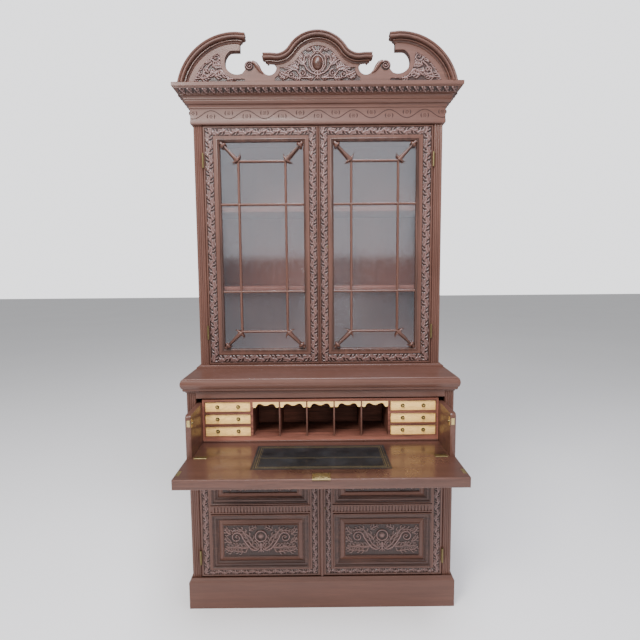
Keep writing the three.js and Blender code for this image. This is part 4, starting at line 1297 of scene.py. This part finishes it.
# ------------------------------------------------------------------ writing drawer
def build_wings():
    """The drawer's sides, with brass catch plates near their front edges."""
    for word, side in SIDES:
        low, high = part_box(f"drawer_{word}_wing")
        bm = bmesh.new()
        add_box(bm, low + Vector((0, 0.0006, 0)), high)
        corner = [edge for edge in bm.edges if all(v.co.y < low.y + 0.001 and abs(v.co.z - high.z) < 1e-6
                                                   for v in edge.verts)]
        bmesh.ops.bevel(bm, geom=corner, offset=0.012, offset_type="OFFSET", affect="EDGES", segments=6,
                        profile=0.5, material=-1)
        long_edges = [edge for edge in bm.edges if edge.calc_face_angle(0.0) > 0.6]
        bmesh.ops.bevel(bm, geom=long_edges, offset=0.0014, offset_type="OFFSET", affect="EDGES", segments=2,
                        profile=0.5, material=-1)
        place_piece(f"{word}_wing_board", bm, "oak_y", "secretary_drawer",
                    [f"drawer_{word}_wing"])
        inner_face = low.x if side > 0 else high.x
        bm = bmesh.new()
        span = sorted((inner_face, inner_face - side * 0.0016))
        add_box(bm, (span[0], low.y + 0.003, CATCH_Z - 0.017),
                (span[1], low.y + 0.019, CATCH_Z + 0.017), 0.0006)
        front = sorted((inner_face + side * 0.004, inner_face + side * 0.016))
        add_box(bm, (front[0], low.y + 0.0003, CATCH_Z - 0.013), (front[1], low.y + 0.003, CATCH_Z + 0.013))
        place_piece(f"{word}_catch_plate", bm, "brass", "secretary_drawer")
        bm = bmesh.new()
        matrix = Matrix.Translation((inner_face - side * 0.0014, low.y + 0.011, CATCH_Z)) \
            @ Matrix.Rotation(-side * math.pi / 2, 4, "Y")
        button = [(0.0, -0.001), (0.0045, -0.001), (0.0045, 0.003), (0.0035, 0.0055), (0.0, 0.0062)]
        add_turned(bm, button, matrix)
        place_piece(f"{word}_catch_button", bm, "dark_brass", "secretary_drawer")


def build_flap():
    """The fall flap with its rounded edge, strikes and lock."""
    low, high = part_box("fall_flap")
    lock_low, lock_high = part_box("flap_lock")
    inset = 0.0016
    half = high.x
    hinge_y = HINGE_Y - 0.0003
    skin = 0.0012
    leather_low, leather_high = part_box("flap_leather")
    bm = bmesh.new()
    add_box(bm, (-half, low.y, low.z), (half, hinge_y, high.z - skin))
    edges = [edge for edge in bm.edges if all(v.co.y < low.y + 1e-5 for v in edge.verts)]
    bmesh.ops.bevel(bm, geom=edges, offset=0.003, offset_type="OFFSET", affect="EDGES", segments=4,
                    profile=0.5, material=-1)
    add_box(bm, (-half, hinge_y - 0.002, low.z), (half, high.y, low.z + 0.0075), 0.001)
    place_piece("flap_board", bm, "oak_x", "fall_flap", ["fall_flap"])
    rim = 0.0003
    edge_x, edge_y = half - inset, low.y + inset + 0.001
    near, far = leather_low.y - rim, lock_high.y + rim
    notch_x, lock_x = leather_high.x + rim, lock_high.x + rim
    right = [(lock_x, far), (lock_x, edge_y), (edge_x, edge_y), (edge_x, hinge_y), (notch_x, hinge_y),
             (notch_x, near)]
    outline = right + [(-x, y) for x, y in reversed(right)]
    bm = bmesh.new()
    face = bm.faces.new([bm.verts.new((x, y, high.z - skin)) for x, y in outline])
    top = bmesh.ops.extrude_face_region(bm, geom=[face])["geom"]
    raised = [item for item in top if isinstance(item, bmesh.types.BMVert)]
    bmesh.ops.translate(bm, vec=(0, 0, skin), verts=raised)
    place_piece("flap_veneer", bm, "writing_wood", "fall_flap")
    bm = bmesh.new()
    add_box(bm, lock_low, (lock_high.x, lock_high.y, lock_high.z + 0.0003), 0.0006)
    place_piece("lock_plate", bm, "brass", "fall_flap", ["flap_lock"])
    bm = bmesh.new()
    middle = (lock_low.y + lock_high.y) / 2
    add_box(bm, (-0.0045, middle - 0.010, lock_high.z),
            (0.0045, middle - 0.002, lock_high.z + 0.0008), 0.0004)
    screw = [(0.0, 0.0011), (0.0018, 0.0009), (0.0028, 0.0003), (0.0028, 0.0), (0.0, 0.0)]
    for x in (-0.026, 0.026):
        for y in (lock_low.y + 0.008, lock_high.y - 0.007):
            add_turned(bm, screw, Matrix.Translation((x, y, lock_high.z)), 14)
    place_piece("lock_bolt_and_screws", bm, "dark_brass", "fall_flap")
    for word, side in SIDES:
        bm = bmesh.new()
        x = sorted((side * (half - 0.004), side * (half - 0.016)))
        add_box(bm, (x[0], low.y + 0.034, high.z - 0.001), (x[1], low.y + 0.074, high.z + 0.0002))
        place_piece(f"{word}_strike_plate", bm, "brass", "fall_flap")


def build_leather():
    """The two leather skins with their tooled gilt borders."""
    for node, body, board, open_side in (("flap_leather", "fall_flap", "fall_flap", 1),
                                         ("drawer_leather", "secretary_drawer", "drawer_bottom", -1)):
        low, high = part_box(node)
        bm = bmesh.new()
        bmesh.ops.create_grid(bm, x_segments=105, y_segments=24, size=1)
        for vert in bm.verts:
            x = low.x + (vert.co.x + 1) / 2 * (high.x - low.x)
            y = low.y + (vert.co.y + 1) / 2 * (high.y - low.y)
            swell = 0.00012 * math.sin(x * 71) * math.sin(y * 93 + 1)
            vert.co = (x, y, high.z + swell)
        bmesh.ops.solidify(bm, geom=bm.faces, thickness=0.0011)
        skin = place_piece(node + "_skin", bm, "leather", body, [node])
        bm = bmesh.new()
        for inset, width in ((0.009, 0.0018), (0.0165, 0.0032), (0.0240, 0.0014)):
            add_tooling(bm, low, high, inset, width, open_side)
        place_piece(node + "_gilt_lines", bm, "gilt", body)


def add_tooling(bm, low, high, inset, width, open_side):
    """One gilt line round three sides of a leather; the fourth side meets the other leather."""
    z0, z1 = high.z - 0.0002, high.z + 0.0003
    x0, x1 = low.x + inset, high.x - inset
    if open_side > 0:
        y0, y1, cross = low.y + inset, high.y, low.y + inset
    else:
        y0, y1, cross = low.y, high.y - inset, high.y - inset
    add_box(bm, (x0, y0, z0), (x0 + width, y1, z1))
    add_box(bm, (x1 - width, y0, z0), (x1, y1, z1))
    edge = (cross, cross + width) if open_side > 0 else (cross - width, cross)
    add_box(bm, (x0 + width / 2, edge[0], z0), (x1 - width / 2, edge[1], z1))
    if inset < 0.012:
        joint = (high.y - 0.0035, high.y - 0.0022) if open_side > 0 else (low.y + 0.0022, low.y + 0.0035)
        add_box(bm, (x0, joint[0], z0), (x1, joint[1], z1))
    if width > 0.003:
        count = int((x1 - x0) / 0.010)
        for i in range(count):
            x = x0 + (i + 0.5) * (x1 - x0) / count
            middle = (edge[0] + edge[1]) / 2 + open_side * 0.0055
            add_box(bm, (x - 0.0022, middle - 0.0008, z0), (x + 0.0022, middle + 0.0008, z1))


def build_pigeonholes():
    """Scalloped maple valances between the dividers, and the dividers' front edges."""
    low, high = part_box("pigeonhole_valances")
    case_low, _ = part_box("pigeonhole_case")
    holes, divider = 5, 0.006
    width = (high.x - low.x + 0.0006 - divider * (holes - 1)) / holes
    lobes = ((0, 4), (3, 1), (8, 0), (13, 2), (16, 8), (19, 13), (25, 16.5), (32, 17), (39, 14.5), (45, 11),
             (51, 9))
    for i in range(holes):
        x0 = low.x - 0.0003 + i * (width + divider)
        x1 = x0 + width
        middle = (x0 + x1) / 2
        left = [(x0 + run / 1000, low.z + rise / 1000) for run, rise in lobes]
        right = [(2 * middle - x, z) for x, z in reversed(left)]
        points = [(x0, high.z)] + left + right + [(x1, high.z)]
        plate(f"pigeonhole_valance_{i + 1}", [points], low.y, high.y, "maple", "secretary_drawer",
              ["pigeonhole_valances"] if i == 0 else ())
    bm = bmesh.new()
    for i in range(holes - 1):
        x = low.x - 0.0003 + (i + 1) * width + (i + 0.5) * divider
        add_box(bm, (x - divider / 2 - 0.0002, case_low.y - 0.0006, DIVIDER_EDGE_Z[0]),
                (x + divider / 2 + 0.0002, case_low.y + 0.004, DIVIDER_EDGE_Z[1]), 0.0009)
    place_piece("pigeonhole_divider_edges", bm, "oak_z", "secretary_drawer")
    bm = bmesh.new()
    x = case_low.x
    add_box(bm, (x + 0.0005, case_low.y - 0.0045, WRITING_Z + 0.0004),
            (-x - 0.0005, case_low.y + 0.001, WRITING_Z + 0.0075), 0.002, 3)
    place_piece("pigeonhole_foot_bead", bm, "oak_x", "secretary_drawer")


def build_small_drawers():
    """Small drawers of thin boards with maple fronts and turned brass knobs."""
    radius = sizes().knob_radius
    for word, _ in SIDES:
        for row in ("bottom", "middle", "top"):
            node = f"{word}_{row}_small_drawer"
            low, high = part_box(node)
            front = low.y + 0.010
            middle = (low.x + high.x) / 2
            height = (low.z + high.z) / 2
            bm = bmesh.new()
            add_box(bm, (low.x, front, low.z), (high.x, front + 0.008, high.z), 0.0012)
            place_piece(f"{word}_{row}_drawer_front", bm, "maple", node, [node])
            bm = bmesh.new()
            wall = 0.005
            inner = front + 0.0079
            for x in (low.x + 0.0005, high.x - wall - 0.0005):
                add_box(bm, (x, inner, low.z + 0.001),
                        (x + wall, high.y - wall + 0.0013, high.z - 0.002), 0.0005)
            add_box(bm, (low.x + 0.0005, high.y - wall, low.z + 0.001),
                    (high.x - 0.0005, high.y, high.z - 0.002), 0.0005)
            add_box(bm, (low.x + wall, inner, low.z + 0.0012), (high.x - wall, high.y - wall, low.z + 0.004))
            place_piece(f"{word}_{row}_drawer_box", bm, "inner_x", node)
            bm, plates = bmesh.new(), bmesh.new()
            for offset in (-0.0445, 0.0445):
                matrix = Matrix.Translation((middle + offset, front, height))
                matrix = matrix @ Matrix.Rotation(math.pi / 2, 4, "X")
                add_turned(bm, [(0.0, 0.0008), (0.0024, 0.0009), (0.0024, 0.0032), (0.0026, 0.0048),
                                (radius * 0.86, 0.0060), (radius, 0.0078), (radius * 0.9, 0.0092),
                                (radius * 0.55, 0.0100), (0.0, 0.0102)], matrix, 20)
                add_turned(plates, [(0.0, -0.001), (0.0086, -0.001), (0.0086, 0.0005), (0.0074, 0.0018),
                                    (0.0056, 0.0012), (0.0, 0.0010)], matrix, 24)
            place_piece(f"{word}_{row}_drawer_knob_plates", plates, "dark_brass", node)
            place_piece(f"{word}_{row}_drawer_knobs", bm, "brass", node)


def build_bookshelves():
    """Shelves with a moulded front edge."""
    for node in ("lower_bookshelf", "upper_bookshelf"):
        low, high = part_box(node)
        bm = bmesh.new()
        add_box(bm, low, high)
        front = [edge for edge in bm.edges if all(v.co.y < low.y + 1e-5 for v in edge.verts) and
                 abs(edge.verts[0].co.z - edge.verts[1].co.z) < 1e-5]
        bmesh.ops.bevel(bm, geom=front, offset=0.006, offset_type="OFFSET", affect="EDGES", segments=4,
                        profile=0.5, material=-1)
        place_piece(node + "_board", bm, "inner_x", "case", [node])


# ------------------------------------------------------------------ operators
class DESK_OT_finishes(bpy.types.Operator):
    """Make the finishes and put them on the frame"""
    bl_idname = "desk.finishes"
    bl_label = "Finishes"
    bl_options = {"REGISTER", "UNDO"}

    def execute(self, context):
        make_finishes()
        return {"FINISHED"}


class DESK_OT_stage(bpy.types.Operator):
    """Make the floor, the lights and the camera"""
    bl_idname = "desk.stage"
    bl_label = "Stage"
    bl_options = {"REGISTER", "UNDO"}

    def execute(self, context):
        build_stage()
        return {"FINISHED"}


class DESK_OT_boards(bpy.types.Operator):
    """Make the sides, plinth and rails"""
    bl_idname = "desk.boards"
    bl_label = "Boards"
    bl_options = {"REGISTER", "UNDO"}

    def execute(self, context):
        build_boards()
        return {"FINISHED"}


class DESK_OT_slab(bpy.types.Operator):
    """Make the moulded top of the lower stage"""
    bl_idname = "desk.slab"
    bl_label = "Slab"
    bl_options = {"REGISTER", "UNDO"}

    def execute(self, context):
        build_slab()
        return {"FINISHED"}


class DESK_OT_step(bpy.types.Operator):
    """Make the moulding under the bookcase"""
    bl_idname = "desk.step"
    bl_label = "Step"
    bl_options = {"REGISTER", "UNDO"}

    def execute(self, context):
        build_step()
        return {"FINISHED"}


class DESK_OT_cornice(bpy.types.Operator):
    """Make the cornice and its leaf band"""
    bl_idname = "desk.cornice"
    bl_label = "Cornice"
    bl_options = {"REGISTER", "UNDO"}

    def execute(self, context):
        build_cornice()
        return {"FINISHED"}


class DESK_OT_frieze(bpy.types.Operator):
    """Make the cut pattern of the frieze"""
    bl_idname = "desk.frieze"
    bl_label = "Frieze"
    bl_options = {"REGISTER", "UNDO"}

    def execute(self, context):
        build_frieze()
        return {"FINISHED"}


class DESK_OT_pediment(bpy.types.Operator):
    """Make the swan-neck pediment"""
    bl_idname = "desk.pediment"
    bl_label = "Pediment"
    bl_options = {"REGISTER", "UNDO"}

    def execute(self, context):
        build_pediment()
        return {"FINISHED"}


class DESK_OT_bookshelves(bpy.types.Operator):
    """Make the shelves"""
    bl_idname = "desk.bookshelves"
    bl_label = "Bookshelves"
    bl_options = {"REGISTER", "UNDO"}

    def execute(self, context):
        build_bookshelves()
        return {"FINISHED"}


class DESK_OT_upper_doors(bpy.types.Operator):
    """Make the glazed door frames"""
    bl_idname = "desk.upper_doors"
    bl_label = "Upper doors"
    bl_options = {"REGISTER", "UNDO"}

    def execute(self, context):
        build_upper_doors()
        return {"FINISHED"}


class DESK_OT_glazing(bpy.types.Operator):
    """Make the glazing bars and corner turnings"""
    bl_idname = "desk.glazing"
    bl_label = "Glazing"
    bl_options = {"REGISTER", "UNDO"}

    def execute(self, context):
        build_glazing()
        return {"FINISHED"}


class DESK_OT_lower_doors(bpy.types.Operator):
    """Make the carved cupboard doors"""
    bl_idname = "desk.lower_doors"
    bl_label = "Lower doors"
    bl_options = {"REGISTER", "UNDO"}

    def execute(self, context):
        build_lower_doors()
        return {"FINISHED"}


class DESK_OT_wings(bpy.types.Operator):
    """Make the drawer's sides and catches"""
    bl_idname = "desk.drawer_sides"
    bl_label = "Drawer sides"
    bl_options = {"REGISTER", "UNDO"}

    def execute(self, context):
        build_wings()
        return {"FINISHED"}


class DESK_OT_flap(bpy.types.Operator):
    """Make the fall flap, its lock and strikes"""
    bl_idname = "desk.flap"
    bl_label = "Flap"
    bl_options = {"REGISTER", "UNDO"}

    def execute(self, context):
        build_flap()
        return {"FINISHED"}


class DESK_OT_leather(bpy.types.Operator):
    """Make the tooled leathers"""
    bl_idname = "desk.leather"
    bl_label = "Leather"
    bl_options = {"REGISTER", "UNDO"}

    def execute(self, context):
        build_leather()
        return {"FINISHED"}


class DESK_OT_pigeonholes(bpy.types.Operator):
    """Make the valances and divider edges"""
    bl_idname = "desk.pigeonholes"
    bl_label = "Pigeonholes"
    bl_options = {"REGISTER", "UNDO"}

    def execute(self, context):
        build_pigeonholes()
        return {"FINISHED"}


class DESK_OT_small_drawers(bpy.types.Operator):
    """Make the six small drawers"""
    bl_idname = "desk.small_drawers"
    bl_label = "Small drawers"
    bl_options = {"REGISTER", "UNDO"}

    def execute(self, context):
        build_small_drawers()
        return {"FINISHED"}


OPERATORS = (
    DESK_OT_finishes, DESK_OT_stage, DESK_OT_boards, DESK_OT_slab, DESK_OT_step, DESK_OT_cornice,
    DESK_OT_frieze, DESK_OT_pediment, DESK_OT_bookshelves, DESK_OT_upper_doors, DESK_OT_glazing,
    DESK_OT_lower_doors, DESK_OT_wings, DESK_OT_flap, DESK_OT_leather, DESK_OT_pigeonholes,
    DESK_OT_small_drawers,
)


class DESK_PT_panel(bpy.types.Panel):
    """Lists the desk's settings and operators."""
    bl_label = "Carved desk"
    bl_space_type = "VIEW_3D"
    bl_region_type = "UI"
    bl_category = "Desk"

    def draw(self, context):
        for group in (context.scene.desk_sizes, context.scene.desk_colours):
            for name in group.__annotations__:
                self.layout.prop(group, name)
        for item in OPERATORS:
            self.layout.operator(item.bl_idname)


CLASSES = (DeskSizes, DeskColours) + OPERATORS + (DESK_PT_panel,)


def register():
    """Adds the classes and the two groups of settings."""
    for item in CLASSES:
        bpy.utils.register_class(item)
    bpy.types.Scene.desk_sizes = bpy.props.PointerProperty(type=DeskSizes)
    bpy.types.Scene.desk_colours = bpy.props.PointerProperty(type=DeskColours)


def unregister():
    """Takes them away again."""
    del bpy.types.Scene.desk_sizes
    del bpy.types.Scene.desk_colours
    for item in reversed(CLASSES):
        bpy.utils.unregister_class(item)


def main():
    """Builds the whole desk and notes the size of its frame and of its looks."""
    register()
    for item in OPERATORS:
        getattr(bpy.ops.desk, item.bl_idname.split(".")[1])()


if __name__ == "__main__":
    main()
